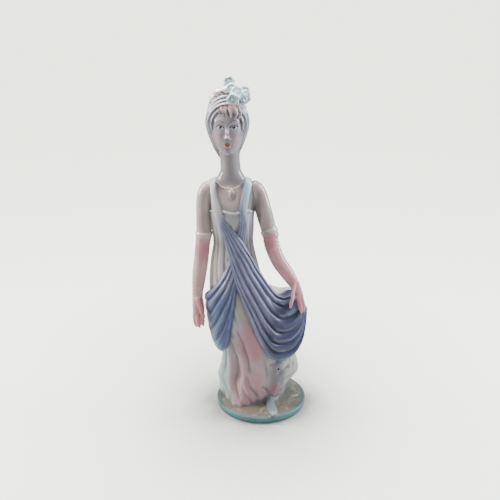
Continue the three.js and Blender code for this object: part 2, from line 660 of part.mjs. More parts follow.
// Head with face, fringe, turban and flowers
function head() {
  const skull = stacked(HEAD, 10, 14);
  const hood = stacked(HOOD, 9, 14, tuckedHood);
  const opening = new SphereGeometry(1, 16, 10);
  opening.scale(13.4, 22, 22).translate(HEAD_CENTRE.x + 0.5, -20, HEAD_CENTRE.z - 7);
  return joined([
    hood.subtract(solidOf(opening)),
    skull,
    limb(NECK, { sides: 12, rows: 5 }),
    limb(NOSE, { sides: 5, rows: 4 }),
    limb(LIPS, { sides: 5, rows: 4 }),
    ...BANDS.map(turbanBand),
    ...PUFFS.map((puff) => pebble(puff, 7)),
    ...LOCKS.map((lock) => limb(roundedTip(lock), { sides: 4, rows: 3 })),
    limb(FLOWER_STEM, { sides: 7, rows: 4 }),
    limb(FLOWER_BED, { sides: 7, rows: 4 }),
    ...BLOOMS.map(bloom),
  ]);
}

// Arms with their cuffs and hands
function arms() {
  return joined([
    limb(RIGHT_ARM, { sides: 9, rows: 10 }),
    limb(LEFT_ARM, { sides: 9, rows: 10 }),
    limb(RIGHT_CUFF, { sides: CUFF_SIDES, rows: 4 }),
    limb(LEFT_CUFF, { sides: CUFF_SIDES, rows: 4 }),
    ...[...RIGHT_HAND, ...LEFT_HAND].map((part) => limb(roundedTip(part), { sides: 5, rows: 3 })),
  ]);
}

// The whole casting
function figurine() {
  const vent = new CylinderGeometry(VENT.radius, VENT.radius, VENT.depth, 8);
  vent.translate(VENT.x, VENT.y, VENT.z);
  return joined([
    baseDisc(),
    pebble(GROUND_SWELL, 10),
    figureBody(),
    overskirtCore(),
    shawlPanel(FRONT_DRAPE),
    shawlPanel(SIDE_DRAPE),
    shawlPanel(BACK_DRAPE),
    shawlPanel(NAPE_DRAPE),
    limb(roundedTip(SHOE), { sides: SHOE_SIDES, rows: 7, reference: UP }),
    head(),
    limb(CHAIN, { sides: 4, rows: 7 }),
    pebble(DROP, 6),
    arms(),
  ]).subtract(solidOf(vent));
}

// Outer skin of a solid, without the pockets closed in between its forms
function outerSkin(solid) {
  return solid.decompose().reduce((largest, next) => (next.volume() > largest.volume() ? next : largest));
}

// Mesh of a solid under a node name
function nodeOf(name, solid, color) {
  const { vertProperties, triVerts } = solid.getMesh();
  const geometry = new BufferGeometry();
  geometry.setAttribute('position', new BufferAttribute(vertProperties, 3));
  geometry.setIndex(new BufferAttribute(triVerts, 1));
  geometry.computeVertexNormals();
  const mesh = new Mesh(geometry, new MeshStandardMaterial({ color, roughness: 0.2, metalness: 0 }));
  mesh.name = name;
  return mesh;
}

const figurineGroup = new Group();
figurineGroup.name = 'porcelain_lady_figurine';
figurineGroup.add(nodeOf('figurine', outerSkin(figurine().simplify(FACET_TOLERANCE)), '#d8d6dc'));

export default figurineGroup;
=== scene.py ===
"""Porcelain lady figurine: modelled, painted and glazed as one casting, in a soft pale studio."""
import math

import bpy
import numpy as np
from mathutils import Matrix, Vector
from mathutils.bvhtree import BVHTree


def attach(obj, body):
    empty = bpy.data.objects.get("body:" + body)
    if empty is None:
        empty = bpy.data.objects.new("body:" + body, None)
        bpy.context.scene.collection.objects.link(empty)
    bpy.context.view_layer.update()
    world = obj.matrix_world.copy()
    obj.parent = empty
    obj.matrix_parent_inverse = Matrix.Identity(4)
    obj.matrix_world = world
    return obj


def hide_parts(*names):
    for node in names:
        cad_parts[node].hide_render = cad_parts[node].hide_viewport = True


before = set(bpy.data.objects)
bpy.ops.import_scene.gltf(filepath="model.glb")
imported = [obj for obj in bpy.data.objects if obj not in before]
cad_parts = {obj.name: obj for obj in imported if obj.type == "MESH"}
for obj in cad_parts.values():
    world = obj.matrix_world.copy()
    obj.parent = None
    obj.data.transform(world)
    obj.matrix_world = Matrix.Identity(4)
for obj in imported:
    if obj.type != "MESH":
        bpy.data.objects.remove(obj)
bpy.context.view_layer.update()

MILLIMETRE = 0.001
FULL_TURN = 2 * math.pi
POLE_GAP = 0.01

# Mesh resolution in millimetres and triangles, and how often the fused forms are smoothed
VOXEL = 0.36
TRIANGLES = 188000
SOFTENING = {"factor": 0.5, "iterations": 6}
PAINT_REACH = 4.0

# Painted shade in valleys and painted highlights on crests: smoothing steps that measure a valley, then steps
# that spread the paint
HOLLOW_SCALES = {"hollow": (14, 2), "sunken": (60, 6)}

# Base disc: its profile as radius and height, and the swell of the ground; then the vent hole in the skirt
BASE_RADIUS = 41.3
FOOT_RADIUS = 39.5
RIM_TOP = 7.0
GROUND_CROWN = 9.0
AXIS_GAP = 0.1
BASE_SIDES = 220
BASE_PROFILE = [
    (AXIS_GAP, 0), (FOOT_RADIUS * 0.6, 0), (FOOT_RADIUS, 0), (BASE_RADIUS - 0.5, 0.9),
    (BASE_RADIUS - 0.05, 3), (BASE_RADIUS, RIM_TOP - 1.6), (BASE_RADIUS - 0.5, RIM_TOP - 0.5),
    (BASE_RADIUS - 1.8, RIM_TOP), (BASE_RADIUS * 0.5, GROUND_CROWN - 1), (AXIS_GAP, GROUND_CROWN),
]
GROUND_SWELL = (28.4, 0.4, 7.4, 8.2, 7.4, 1.7)
VENT = {"x": 15.3, "y": -16.5, "z": 43.4, "radius": 1.0, "depth": 9}

# Gown and shoulders: height, centre x, half width, front depth, back depth
GOWN = [
    (4, -3.6, 35, 22.6, 20), (14, -4, 36.6, 23, 20.6), (26, -3.6, 37, 22.8, 21.4),
    (40, -1.6, 35, 21.6, 22.5), (56, -3.5, 32, 21.5, 22.5), (76, -9, 30, 21, 21.5),
    (98, -17, 27.8, 19.5, 20.5), (120, -22.3, 23.8, 16.5, 18.5), (141, -24.4, 20.1, 13.2, 15),
    (158, -24.9, 17.1, 12, 11), (171, -25.3, 18, 13.4, 10.5), (182, -25.7, 18.9, 15, 11),
    (193, -25.6, 20, 13, 11), (203, -25.6, 21.4, 10.6, 10.5), (208, -25.7, 21.2, 9, 9.5),
    (212.4, -26, 17.6, 7.8, 8.5), (215.6, -26.3, 12, 6.8, 7.5),
]
GOWN_STEPS = 360
GOWN_SIDES = 460

# Bodice edge: its heights, the dip in the middle, the fall towards the arms, the rolled lip; then its folds
SKIN_SINK = 0.8
NECKLINE = {
    "front": 189.4, "back": 196, "dip": 1.6, "dip_x": -24, "dip_width": 6, "side": 2.2, "middle_x": -26,
    "side_reach": (14, 20), "lip": 0.8, "lip_drop": -0.9, "lip_width": 0.8, "step": 0.3,
}
BODICE_FOLDS = {
    "depth": 0.42, "lean": 0.12, "lean_from": 120, "begin": (60, 100), "end": (168, 184),
    "count": 17, "fine_count": 31, "fine_share": 0.5, "fine_turn": 1.3,
}

# Skirt pleats: angle of each valley at the hem and above it, then how they flare, deepen and die out
PLEATS = [
    (-164, -178), (-140, -158), (-97, -136), (-62, -82), (-14, -20), (30, 26), (54, 54), (80, 80),
    (106, 106), (132, 132), (158, 156),
]
PLEAT_TOP = 104
PLEAT_DEPTH = 3.4
PLEAT_FLARE = 22.0
PLEAT_HEM = (0.3, 8, 24)
PLEAT_FADE = 0.6
PLEAT_SINK = 0.7
PLEAT_FINE = {"depth": 0.16, "count": 19, "lean": 0.09, "swells": 5, "drift": 0.03}
FOLD_ROUNDNESS = 0.7

# Hem on the ground: place round the skirt in degrees, x, y; then the heights between which it gives way
HEM = [
    (-180, -36, 0.6), (-160, -32.6, -8), (-141, -29, -15), (-124, -24.6, -21.6), (-114, -19.5, -25.2),
    (-104, -12.4, -24), (-92, -4.3, -20.6), (-76, 4, -18.6), (-65, 8.6, -17.2), (-56, 12, -14.2),
    (-33, 17.4, -6.6), (0, 21, 1), (24, 24, 9), (48, 24.6, 18), (70, 15, 24.4), (90, -1, 27),
    (113, -17, 25.6), (137, -33, 18.4), (160, -39.6, 9), (180, -36, 0.6),
]
HEM_BLEND = (10, 36)

# Creases pressed into the skirt: places as degrees and height, then width and depth
SKIRT_CREASES = [
    ([(-140, 74), (-136, 60), (-130, 52), (-121, 32), (-113, 12)], 2.4, 2.2),
    ([(-112, 84), (-109, 60), (-105, 38)], 1.6, 1.9),
    ([(-111, 40), (-100, 25), (-88, 14)], 1.7, 1.9),
    ([(-114, 30), (-104, 17), (-98, 8)], 1.3, 1.4),
    ([(-84, 27), (-72, 19.6), (-60, 13)], 1.4, 1.3),
    ([(-20, 54), (-40, 43), (-66, 37)], 1.7, 3.2),
    ([(-18, 45), (-36, 33), (-58, 28)], 1.7, 3.2),
    ([(-26, 60), (-48, 52), (-74, 47)], 1.4, 2.4),
    ([(-18, 35), (-34, 25), (-54, 20)], 1.5, 2.6),
    ([(-154, 46), (-141, 26), (-132, 11)], 1.3, 1.3),
    ([(-177, 48), (-164, 24), (-154, 11)], 1.4, 1.2),
    ([(-93, 80), (-84, 50), (-76, 30)], 2.4, 0.8),
    ([(16, 50), (18, 26), (22, 9)], 1.3, 1.1),
]
MILLIMETRES_PER_DEGREE = 0.45

# Neck and head: x, y, z, half width, half depth; levels of the head: height, x, y, half width, half depth
NECK = [
    (-26.4, 0.6, 207, 16, 8), (-26.4, 0.4, 213, 13, 8), (-26.5, 0.1, 217.6, 10.4, 7.9),
    (-26.6, -0.2, 222.5, 8.5, 7.7), (-27.2, -0.8, 233, 8.2, 8), (-28, -1, 246, 8.6, 8.6),
]
HEAD = [
    (236.2, -28, -8.6, 2.4, 2.2), (237.6, -28, -7.9, 5.4, 5), (241, -28.1, -5.9, 8.8, 8.6),
    (246, -28.3, -4, 11.2, 11.7), (252, -28.6, -2.7, 12.8, 13.7), (259, -28.9, -1.8, 13.7, 15),
    (265, -29.1, -1.2, 13.8, 15.4), (270, -29.2, -0.6, 13, 14.4), (274, -29.2, 0.4, 11.4, 12.6),
    (279, -29.2, 1, 8, 9), (282, -29.2, 1.4, 4, 5),
]
FACE_X = -28.7

# Relief of the face: how far round the head it fades, as sines of the angle, then its forms:
# distance to the side (mirrored), height, spread across, spread up, rise
FACE_FRONT = (0.05, 0.5)
FACE_FORMS = [
    (5.7, 260.2, 3.3, 2.4, -0.7), (5.5, 259.5, 2.0, 1.25, 0.6), (6.2, 263.8, 3.6, 1.2, 0.2),
    (1.9, 250.5, 0.8, 0.8, 0.9), (7.2, 252.6, 3.2, 3.4, 0.7), (1.1, 246.3, 1.2, 0.6, 0.6),
    (11.2, 264.5, 2.5, 3.5, -0.4), (3.6, 245.3, 0.7, 0.7, -0.35),
]
FACE_MIDLINE = [
    (0, 261, 1.3, 3, 0.4), (0, 257.2, 1.0, 2.2, 1.4), (0, 254.2, 1.15, 1.9, 2.0),
    (0, 251.4, 1.5, 1.2, 2.5), (0, 248, 0.5, 0.9, -0.25), (0, 245.2, 4, 3, 0.6),
    (0, 244.3, 1.9, 0.7, 0.75), (0, 245.35, 2.8, 0.25, -0.5), (0, 242.4, 2.2, 0.8, -0.45),
    (0, 239.4, 2.9, 1.9, 0.8),
]

# Hood of the turban: height, x, y, half width, half depth; its wraps behind and its opening for the face
HOOD = [
    (229, -27.4, 3.6, 7.6, 5.6), (234, -27.8, 4, 9.6, 7.6), (240, -28.2, 4, 12, 9.8),
    (248, -28.8, 3.6, 15.4, 12.8), (256, -29.2, 3, 17.3, 15), (264, -29.3, 2.2, 17.6, 16.4),
    (272, -29.4, 1.2, 16.4, 16), (279, -29.6, 0.6, 13.6, 13.6), (284, -29.8, 0.4, 9.8, 9.8),
    (287, -30, 0.4, 5, 5),
]
HOOD_FRONT = (-0.35, 0.3)
HOOD_WRAPS = {"depth": 0.45, "rise": 0.42, "swirl": 5.5, "from": (-0.3, 0.5)}
FACE_OPENING = {
    "x": -28.7, "z": 253, "half_width": 13.4, "half_height": 22, "front": -2.5, "sink": 7,
    "edge": (0.9, 1.15), "ease": 4,
}
HOOD_TUCK = {"side": 1.9, "crown": 4.2, "low": 266, "high": 279}

# Rolled bands of the turban, from jaw to jaw over the brow
HEAD_CENTRE = (-29.2, -1, 260)
BANDS = [
    {"reach": 12.9, "rise": 14.2, "brow": -13.4, "jaw": -6, "roll": 0.85},
    {"reach": 14.4, "rise": 15.6, "brow": -12, "jaw": -3.6, "roll": 1.2},
    {"reach": 15.7, "rise": 17.3, "brow": -12.8, "jaw": -1.6, "roll": 1.25},
    {"reach": 16.3, "rise": 19.9, "brow": -11, "jaw": 1, "roll": 1.2},
    {"reach": 16.6, "rise": 22.6, "brow": -8.6, "jaw": 3.8, "roll": 1.6},
]
BAND_START = -72
BAND_STEPS = 60
BAND_DROP = 1.45
BAND_TAPER = 0.3
BAND_SHIFT = 0.4
BAND_THINNING = (0.55, 0.45)
BAND_DEPTH = 1.2

# Puffs of cloth on the crown: x, y, z, radius x, y, z; then the count and depth of their gathers
PUFFS = [
    (-34.6, -4.2, 285, 5.8, 5, 4.2), (-29.4, -4.8, 287.4, 5, 5, 3.6), (-39.6, -2.6, 280.6, 3.6, 5, 3.8),
    (-25, 2.5, 286, 5, 5, 4), (-34, 5, 284.5, 5.6, 5.4, 4),
]
PUFF_GATHERS = ((4, 0.045), (7, 0.025))

# Flowers: x, y, z, petal reach, the way each faces; then their petals, profile (radius, height), stem and bed
BLOOMS = [
    (-27.1, -5, 293.9, 4.7, (0, -1, 0.25)), (-25, -7.6, 288.8, 4.4, (-0.1, -1, 0.3)),
    (-20.6, -9.2, 285.4, 5.4, (0.1, -1, 0.5)), (-23.7, -12, 280.6, 5.2, (-0.2, -1, 0)),
    (-14.9, -7, 286.4, 4.9, (0.4, -1, 0.5)), (-13.9, -6.4, 281.2, 4.5, (0.6, -1, -0.1)),
]
PETALS = 5
BLOOM_SIDES = 150
BLOOM_RINGS = 60
PETAL_NOTCH = {"span": 0.16, "cup": 0.07, "from": (0.34, 0.6), "width": 1.5, "turn": 0.4}
BLOOM_PROFILE = [
    (0.3, -0.75), (0.62, -0.55), (0.88, -0.25), (1.02, 0.02), (1.0, 0.22), (0.84, 0.36), (0.64, 0.35),
    (0.48, 0.26), (0.37, 0.2), (0.29, 0.27), (0.18, 0.34), (0.06, 0.36),
]
FLOWER_STEM = [(-29.4, 0, 282, 7.4, 6), (-27.8, -0.8, 288.6, 4.8, 5), (-27.2, -1.6, 294.2, 3.2, 3.2)]
FLOWER_BED = [(-24.4, -6.8, 282.4, 5, 5.4), (-19.6, -5, 284.4, 6, 5.8), (-14.8, -3.4, 283.6, 4.4, 5)]

# Fringe locks: x, y, z, half width, half depth; then the combed strands of a lock
LOCKS = [
    [(-35.6, -12.2, 274.6, 1.1, 0.8), (-35.4, -13.9, 272, 1.1, 0.7), (-34.6, -14.8, 270.2, 0.5, 0.4)],
    [(-32.9, -13, 275.6, 1.3, 0.9), (-32.5, -15.1, 272.6, 1.3, 0.8), (-31.4, -15.9, 270, 0.5, 0.4)],
    [(-30.2, -13.4, 276, 1.4, 0.9), (-29.8, -15.6, 272.6, 1.4, 0.9), (-29, -16.4, 269.6, 0.9, 0.6),
     (-28.2, -16.6, 267.8, 0.4, 0.4)],
    [(-27.4, -13.4, 276.2, 1.5, 1), (-26, -15.8, 273, 1.7, 1.1), (-25.2, -16.9, 269.6, 1.3, 0.9),
     (-25.6, -17, 267.2, 0.5, 0.5)],
    [(-25, -13.2, 276.4, 1.6, 1.1), (-22.8, -15.4, 273.4, 1.9, 1.3), (-21.4, -16.4, 270, 1.6, 1.1),
     (-22.4, -16.7, 267.2, 0.6, 0.6)],
    [(-23, -12.8, 276, 1.7, 1.2), (-19.8, -13.8, 273.4, 1.9, 1.3), (-18.4, -13.9, 269.8, 1.7, 1.2),
     (-19.4, -14.9, 267, 1.2, 1), (-21.6, -15.9, 266, 0.6, 0.6)],
]
HAIR_STRANDS = {"depth": 0.1, "count": 7}

# Necklace and drop
CHAIN = [
    (-39, -6, 213.6, 0.6, 0.8), (-34.5, -8.6, 209.6, 0.6, 0.8), (-29.6, -9.9, 208, 0.6, 0.8),
    (-25.4, -10.2, 207.8, 0.6, 0.8), (-20.6, -9.4, 209.2, 0.6, 0.8), (-15.8, -6.6, 213.2, 0.6, 0.8),
]
CHAIN_BEADS = {"depth": 0.16, "turn": 150}
DROP = (-25.8, -10.7, 203, 2.8, 1.8, 4.4)

# Half-round ends: how far ahead each added station lies, and its size, as shares of the half width
TIP_STEPS = ((0.55, 0.8), (0.85, 0.45))

# Arms, cuffs and rims of the gloves: x, y, z, half width, half depth
RIGHT_ARM = [
    (-42, 0.8, 209.4, 4, 5), (-46.8, 0.8, 204.6, 6.4, 6.4), (-49.6, 0.6, 195, 6.5, 6.2),
    (-49.9, 0.4, 178, 6.7, 6.2), (-50.4, 0.2, 166, 6.5, 6.2), (-51.7, -0.4, 155, 6.4, 6.3),
    (-53.2, -1.4, 141, 6.4, 6.1), (-55.2, -3, 127, 6.1, 5.7), (-56.7, -4.6, 113, 4.9, 4.6),
    (-57, -6, 105, 4.6, 3.8),
]
LEFT_ARM = [
    (-9.4, 0.8, 209.6, 4, 5), (-4.8, 0.8, 204.4, 6.4, 6.4), (-1.1, 0.4, 194.6, 6.9, 6.3),
    (2.5, 0, 181, 7, 6.2), (6.2, -0.4, 167, 6.5, 6.1), (9, -1.2, 154, 6.5, 6.2), (14.6, -3, 141, 6.4, 6),
    (22.3, -5, 130, 5.9, 5.4), (28.6, -6.4, 120.4, 4.7, 4.2), (31, -7.4, 114, 4.6, 3.8),
]
RIGHT_CUFF = [
    (-50.4, 0.2, 167.6, 6.4, 6.2), (-50.4, 0.2, 166.8, 7.1, 6.9), (-50.5, 0.2, 165.2, 7.4, 7.2),
    (-50.6, 0.1, 163.6, 7.1, 6.9), (-50.7, 0.1, 162.8, 6.4, 6.2),
]
LEFT_CUFF = [
    (5.4, -0.3, 169.9, 6.5, 6.2), (5.7, -0.4, 169.1, 7.3, 6.9), (6.3, -0.4, 167.5, 7.6, 7.2),
    (6.9, -0.5, 165.9, 7.3, 6.9), (7.2, -0.6, 165.1, 6.5, 6.2),
]
GLOVE_RIMS = [
    [(-50.8, 0.1, 162.6, 6.3, 6.2), (-50.9, 0.1, 161.2, 6.9, 6.6), (-51.1, 0, 159.8, 6.3, 6.2)],
    [(7.3, -0.6, 165, 6.4, 6.2), (7.8, -0.7, 163.4, 7, 6.6), (8.2, -0.8, 162, 6.4, 6.2)],
]

# Where the glove's colour ends on each arm, and the glove's creases: places along the arm, depth and reach
CUFF_LINES = {"split_x": -30, "right": 165.2, "left": 167.5, "left_x": 6.3, "lean": 0.45}
GLOVE_CREASES = {"right": (0.5, 0.86), "left": (0.52, 0.88)}
ELBOW_CREASE = {"depth": 0.42, "reach": 0.07, "turn": 190, "even": 0.6, "inner": 0.4}
WRIST_CREASE = {"depth": 0.2, "reach": 0.05, "turn": 230}
CREASE_LEAN = 0.018

# Palms, thumbs and fingers, then the shoe: x, y, z, half width, half depth
RIGHT_HAND = [
    [(-57, -5.6, 108, 4.6, 3.6), (-56.4, -6.6, 101, 5.2, 3.7), (-56.2, -7, 95, 5.3, 3.4),
     (-56, -6.6, 91.5, 4.8, 2.8)],
    [(-57, -8.6, 109, 2, 2), (-54.6, -11, 101.4, 2.1, 2), (-52.4, -12.4, 95, 1.9, 1.8),
     (-51.4, -12.6, 91.6, 1.5, 1.5)],
    [(-59.4, -6, 97, 2, 2), (-59.7, -7.4, 90, 1.9, 2), (-59.3, -7.8, 84, 1.7, 1.8),
     (-58.4, -6.8, 80.4, 1.2, 1.3)],
    [(-57.2, -7.4, 96, 2, 2), (-57, -9.2, 89, 2, 2), (-56.4, -9.2, 83, 1.8, 1.8),
     (-55.6, -7.6, 80, 1.2, 1.3)],
    [(-54.4, -7, 95, 2, 2), (-53.4, -8.6, 89, 1.9, 2), (-52.8, -8.4, 84, 1.7, 1.8),
     (-52.4, -6.8, 81, 1.2, 1.3)],
    [(-55, -4.6, 96, 2, 2), (-53.4, -5, 89, 1.9, 2), (-52.4, -4.4, 83.6, 1.4, 1.6)],
]
LEFT_HAND = [
    [(30.4, -7.2, 116, 4.6, 3.4), (31.4, -8.4, 110.4, 5.2, 3.4), (33, -8.8, 105.6, 4.4, 3)],
    [(28.4, -9.4, 121, 1.8, 1.8), (27.4, -13, 116.4, 1.7, 1.7), (26.4, -16, 110.6, 1.6, 1.6),
     (25.2, -17.2, 105.6, 1.5, 1.5), (24.9, -17.2, 103.4, 1.2, 1.2)],
    [(31.6, -10, 111, 2.1, 1.9), (33, -12, 105, 2, 1.9), (34.2, -12.8, 100, 1.8, 1.7),
     (34.9, -12.4, 95.6, 1, 1)],
    [(34, -9, 111, 2.1, 1.9), (36, -10.4, 105, 2, 1.9), (36.9, -10.6, 100, 1.8, 1.7),
     (37, -10, 96.4, 1, 1)],
]
SHOE = [
    (7.2, -12, 9, 4.2, 4.2), (8, -19, 8.7, 4.6, 4.4), (9, -27, 8.5, 4.9, 4.1), (10, -33, 8.3, 4.9, 3.5),
    (10.5, -36.4, 8.2, 4.3, 3), (10.8, -38.2, 8.1, 3, 2.3),
]

# Shawl panels. Rows: upper edge x, y, z, lower edge x, y, z, front swell, back depth, fold height.
# Valleys lie between 0 at the upper edge and 1 at the lower one. Creases: place, begin, end, depth.
FRONT_DRAPE = {
    "side": 1,
    "rows": [
        (-36.6, 7, 210.6, -43.4, 7, 207.4, 1, 3, 0.3),
        (-38, 0, 215.2, -44.2, 0, 212.2, 1.2, 3, 0.5),
        (-39, -6.8, 211.4, -43.6, -5.6, 207.6, 1.4, 3, 0.6),
        (-38.4, -10.6, 201.8, -42.6, -8.4, 199, 1.4, 3, 0.7),
        (-35, -13.4, 190.3, -41.4, -9.6, 188.5, 1.2, 3, 0.8),
        (-29, -14, 179.6, -37.3, -11.6, 179.6, 1.4, 3, 0.9),
        (-21.8, -13.4, 170, -34, -11.8, 168.6, 1.8, 3, 1),
        (-14.6, -12.8, 159, -30.6, -12.6, 155, 2.4, 3.4, 1.2),
        (-8.4, -12, 147.8, -27, -15.4, 140, 2.8, 4, 1.4),
        (-3.2, -12.4, 138, -22.6, -18.8, 124.5, 3.2, 5, 1.7),
        (2, -13, 129.8, -17, -21, 109.6, 3.4, 7, 2),
        (7, -13.2, 122, -10, -22.6, 92.5, 3.8, 9, 2.3),
        (12, -13, 115.6, -3, -22.8, 73.5, 4.2, 11, 2.5),
        (17.6, -12.4, 112.8, 6.4, -20.6, 55.8, 4.4, 12, 2.6),
        (22.2, -11.4, 113.6, 18, -16.6, 50.4, 4.2, 12, 2.5),
        (25.8, -10.4, 115.6, 29, -10.8, 53.4, 3.6, 11, 2.3),
        (28.4, -8.6, 115.8, 36.2, -6, 64, 2.8, 9, 2),
        (30.6, -6.6, 112, 39.6, -2.8, 80, 2, 7, 1.5),
        (33.4, -4.8, 108.4, 40.9, -0.8, 95, 1.4, 5.4, 0.8),
    ],
    "valleys_start": (0.14, 0.34, 0.54, 0.74, 0.9, 0.96),
    "valleys_end": (0.045, 0.15, 0.34, 0.54, 0.715, 0.86),
    "creases": [
        (0.25, 0.5, 0.8, 0.35), (0.45, 0.62, 0.96, 0.3), (0.62, 0.42, 0.66, 0.4), (0.79, 0.7, 0.98, 0.35),
        (0.93, 0.6, 0.86, 0.4),
    ],
}
SIDE_DRAPE = {
    "side": -1,
    "rows": [
        (-16, 7, 210.6, -9, 7, 207.4, 1, 3, 0.3),
        (-15.2, 0, 215.2, -8.8, 0, 212.2, 1.2, 3, 0.5),
        (-15.2, -6.8, 211.4, -9.4, -5.8, 207.8, 1.4, 3, 0.6),
        (-17.6, -11.2, 201.6, -11.2, -9.4, 200.6, 1.4, 3, 0.7),
        (-19.4, -13.8, 189, -12.9, -10.8, 188, 1.2, 3, 0.8),
        (-21, -13.4, 173, -13.4, -9.8, 172, 1.4, 3, 0.9),
        (-24.4, -12.6, 158.5, -15.2, -10.2, 154, 1.6, 3, 1),
        (-28, -13.8, 146.5, -18.8, -13.6, 138, 1.8, 3.4, 1.2),
        (-32, -14.8, 136, -22, -17.4, 120.4, 2.4, 4, 1.5),
        (-37, -14, 127, -24, -20.4, 103, 3, 5, 1.8),
        (-42.6, -11, 119, -27.4, -20.4, 83.5, 3.8, 6, 2.1),
        (-47.2, -5.6, 113.4, -31.8, -17.6, 66.4, 4.2, 6, 1.9),
        (-49.2, 0.4, 110.4, -36.2, -12.4, 57.6, 4, 6, 1.3),
        (-48.4, 7, 109, -42.4, -4, 64.4, 3.4, 6, 0.8),
        (-44.6, 14, 108, -45, 8, 73, 2.4, 6, 0.5),
    ],
    "valleys_start": (0.27, 0.54, 0.8, 0.93),
    "valleys_end": (0.14, 0.34, 0.57, 0.8),
    "creases": [
        (0.24, 0.48, 0.7, 0.35), (0.46, 0.62, 1.0, 0.4), (0.68, 0.48, 0.75, 0.4), (0.9, 0.6, 0.95, 0.4),
    ],
}
BACK_DRAPE = {
    "side": 1,
    "rows": [
        (37.6, -2, 101, 39.6, -2, 88, 1, 4, 0.6),
        (36, 3, 104, 38.6, 4.6, 74, 1.6, 6, 1.2),
        (31.4, 6, 111.6, 35, 12, 60, 2.4, 9, 1.7),
        (24.4, 6.4, 113.4, 28, 18, 51, 3, 11, 2),
        (16, 7, 112.6, 18, 23.4, 47, 3, 12, 2.2),
        (6, 10, 114.6, 6, 25.4, 47, 2.8, 11, 2.2),
        (-6, 15.6, 116, -7, 25, 49, 2.6, 9, 2.2),
        (-18, 17.6, 115, -20, 22.6, 51.5, 2.4, 8, 2),
        (-29, 18, 112, -30, 18, 54, 2.2, 7, 1.8),
        (-38, 16, 109, -38, 13, 60, 2, 6, 1.2),
        (-43, 13, 107, -42, 9, 68, 1.2, 6, 0.4),
    ],
    "valleys_start": (0.26, 0.52, 0.78),
    "valleys_end": (0.26, 0.52, 0.78),
    "creases": [(0.13, 0.15, 0.7, 0.5), (0.4, 0.3, 0.95, 0.6), (0.65, 0.1, 0.8, 0.6), (0.9, 0.2, 0.9, 0.4)],
}
NAPE_DRAPE = {
    "side": 1,
    "rows": [
        (-13, 2, 213.6, -6.6, 2, 206, 0.8, 3, 0.4),
        (-14, 6.6, 210.6, -7.6, 9, 197, 1.2, 3, 0.8),
        (-18, 9.6, 208.6, -14.6, 11.6, 186, 1.4, 3, 1.1),
        (-26, 10.4, 206, -25.6, 11.6, 178, 1.6, 3, 1.3),
        (-34, 9.6, 208.6, -37, 11.6, 186, 1.4, 3, 1.1),
        (-38.4, 6.6, 210.6, -44.4, 9, 197, 1.2, 3, 0.8),
        (-39.6, 2, 213.6, -45.4, 2, 206, 0.8, 3, 0.4),
    ],
    "valleys_start": (0.28, 0.6),
    "valleys_end": (0.28, 0.6),
    "creases": [(0.14, 0.1, 0.9, 0.3), (0.44, 0.2, 0.9, 0.3), (0.8, 0.15, 0.85, 0.3)],
}
CREASE_WIDTH = 0.028
CREASE_FADE = 0.12
FOLD_DEPTH = 1.35
FOLD_SINK = 0.4
FOLD_RAISE = 0.3
FAN_SPREAD = (0.35, 0.35)
FOLD_WANDER = {"reach": 0.012, "along": 9, "across": 7}
LINING_INSET = (0.96, 0.04)
OVERSKIRT_CORES = [(20, -3, 82, 19, 13, 26), (-2, 0, 80, 30, 20, 26)]


def row_at(table, place):
    """Rows of a table at places from 0 to 1, on a smooth curve through them."""
    table = np.asarray(table, float)
    place = np.clip(np.asarray(place, float), 0, 1) * (len(table) - 1)
    index = np.minimum(place.astype(int), len(table) - 2)
    part = (place - index)[..., None]
    before, start, end, after = (
        table[np.clip(index + step, 0, len(table) - 1)] for step in (-1, 0, 1, 2)
    )
    pull = 0.5 * (end - before)
    push = 0.5 * (after - start)
    gap = start - end
    return ((2 * gap + pull + push) * part - 3 * gap - 2 * pull - push) * part ** 2 + pull * part + start


def fold_height(position, valleys):
    """Rounded folds between sharp valleys: 0 in a valley, 1 on a crest. Valleys are one array per place."""
    height = np.zeros(np.broadcast(position, valleys[0]).shape)
    for low, high in zip(valleys[:-1], valleys[1:]):
        share = np.clip((position - low) / np.maximum(high - low, 1e-6), 0, 1)
        height = np.maximum(height, np.sin(math.pi * share) ** FOLD_ROUNDNESS)
    return height


def smooth_step(low, high, value):
    """0 below low, 1 above high, smooth between."""
    share = np.clip((np.asarray(value, float) - low) / (high - low), 0, 1)
    return share * share * (3 - 2 * share)


def hump(value, centre, spread):
    """Bell shape round a centre."""
    return np.exp(-(((value - centre) / spread) ** 2))


def unit(vectors):
    """Vectors of length one."""
    return vectors / np.maximum(np.linalg.norm(vectors, axis=-1, keepdims=True), 1e-9)


def closed_surface(grid):
    """Vertices and faces of rings of points, drawn together at both ends."""
    rows, sides, _ = grid.shape
    points = np.concatenate([grid.reshape(-1, 3), [grid[0].mean(0)], [grid[-1].mean(0)]])
    row = np.arange(rows - 1)[:, None] * sides
    side = np.arange(sides)[None, :]
    after = (side + 1) % sides
    quads = np.stack([row + side, row + after, row + sides + after, row + sides + side], -1).reshape(-1, 4)
    first, last = rows * sides, rows * sides + 1
    ring = np.arange(sides)
    turned = (ring + 1) % sides
    start = np.stack([np.full(sides, first), turned, ring], -1)
    top = (rows - 1) * sides
    end = np.stack([np.full(sides, last), top + ring, top + turned], -1)
    faces = np.concatenate([quads[:, [0, 1, 2]], quads[:, [0, 2, 3]], start, end])
    return points, faces


def pebble(form, rows=40, sides=60):
    """Ellipsoid: x, y, z, radius x, radius y, radius z."""
    centre, radii = np.array(form[:3]), np.array(form[3:])
    turn = np.linspace(POLE_GAP, math.pi - POLE_GAP, rows)[:, None]
    around = np.arange(sides)[None, :] * FULL_TURN / sides
    level = np.sin(turn)
    ball = np.stack([level * np.cos(around), level * np.sin(around), np.cos(turn) + 0 * around], -1)
    return closed_surface(centre + ball * radii)


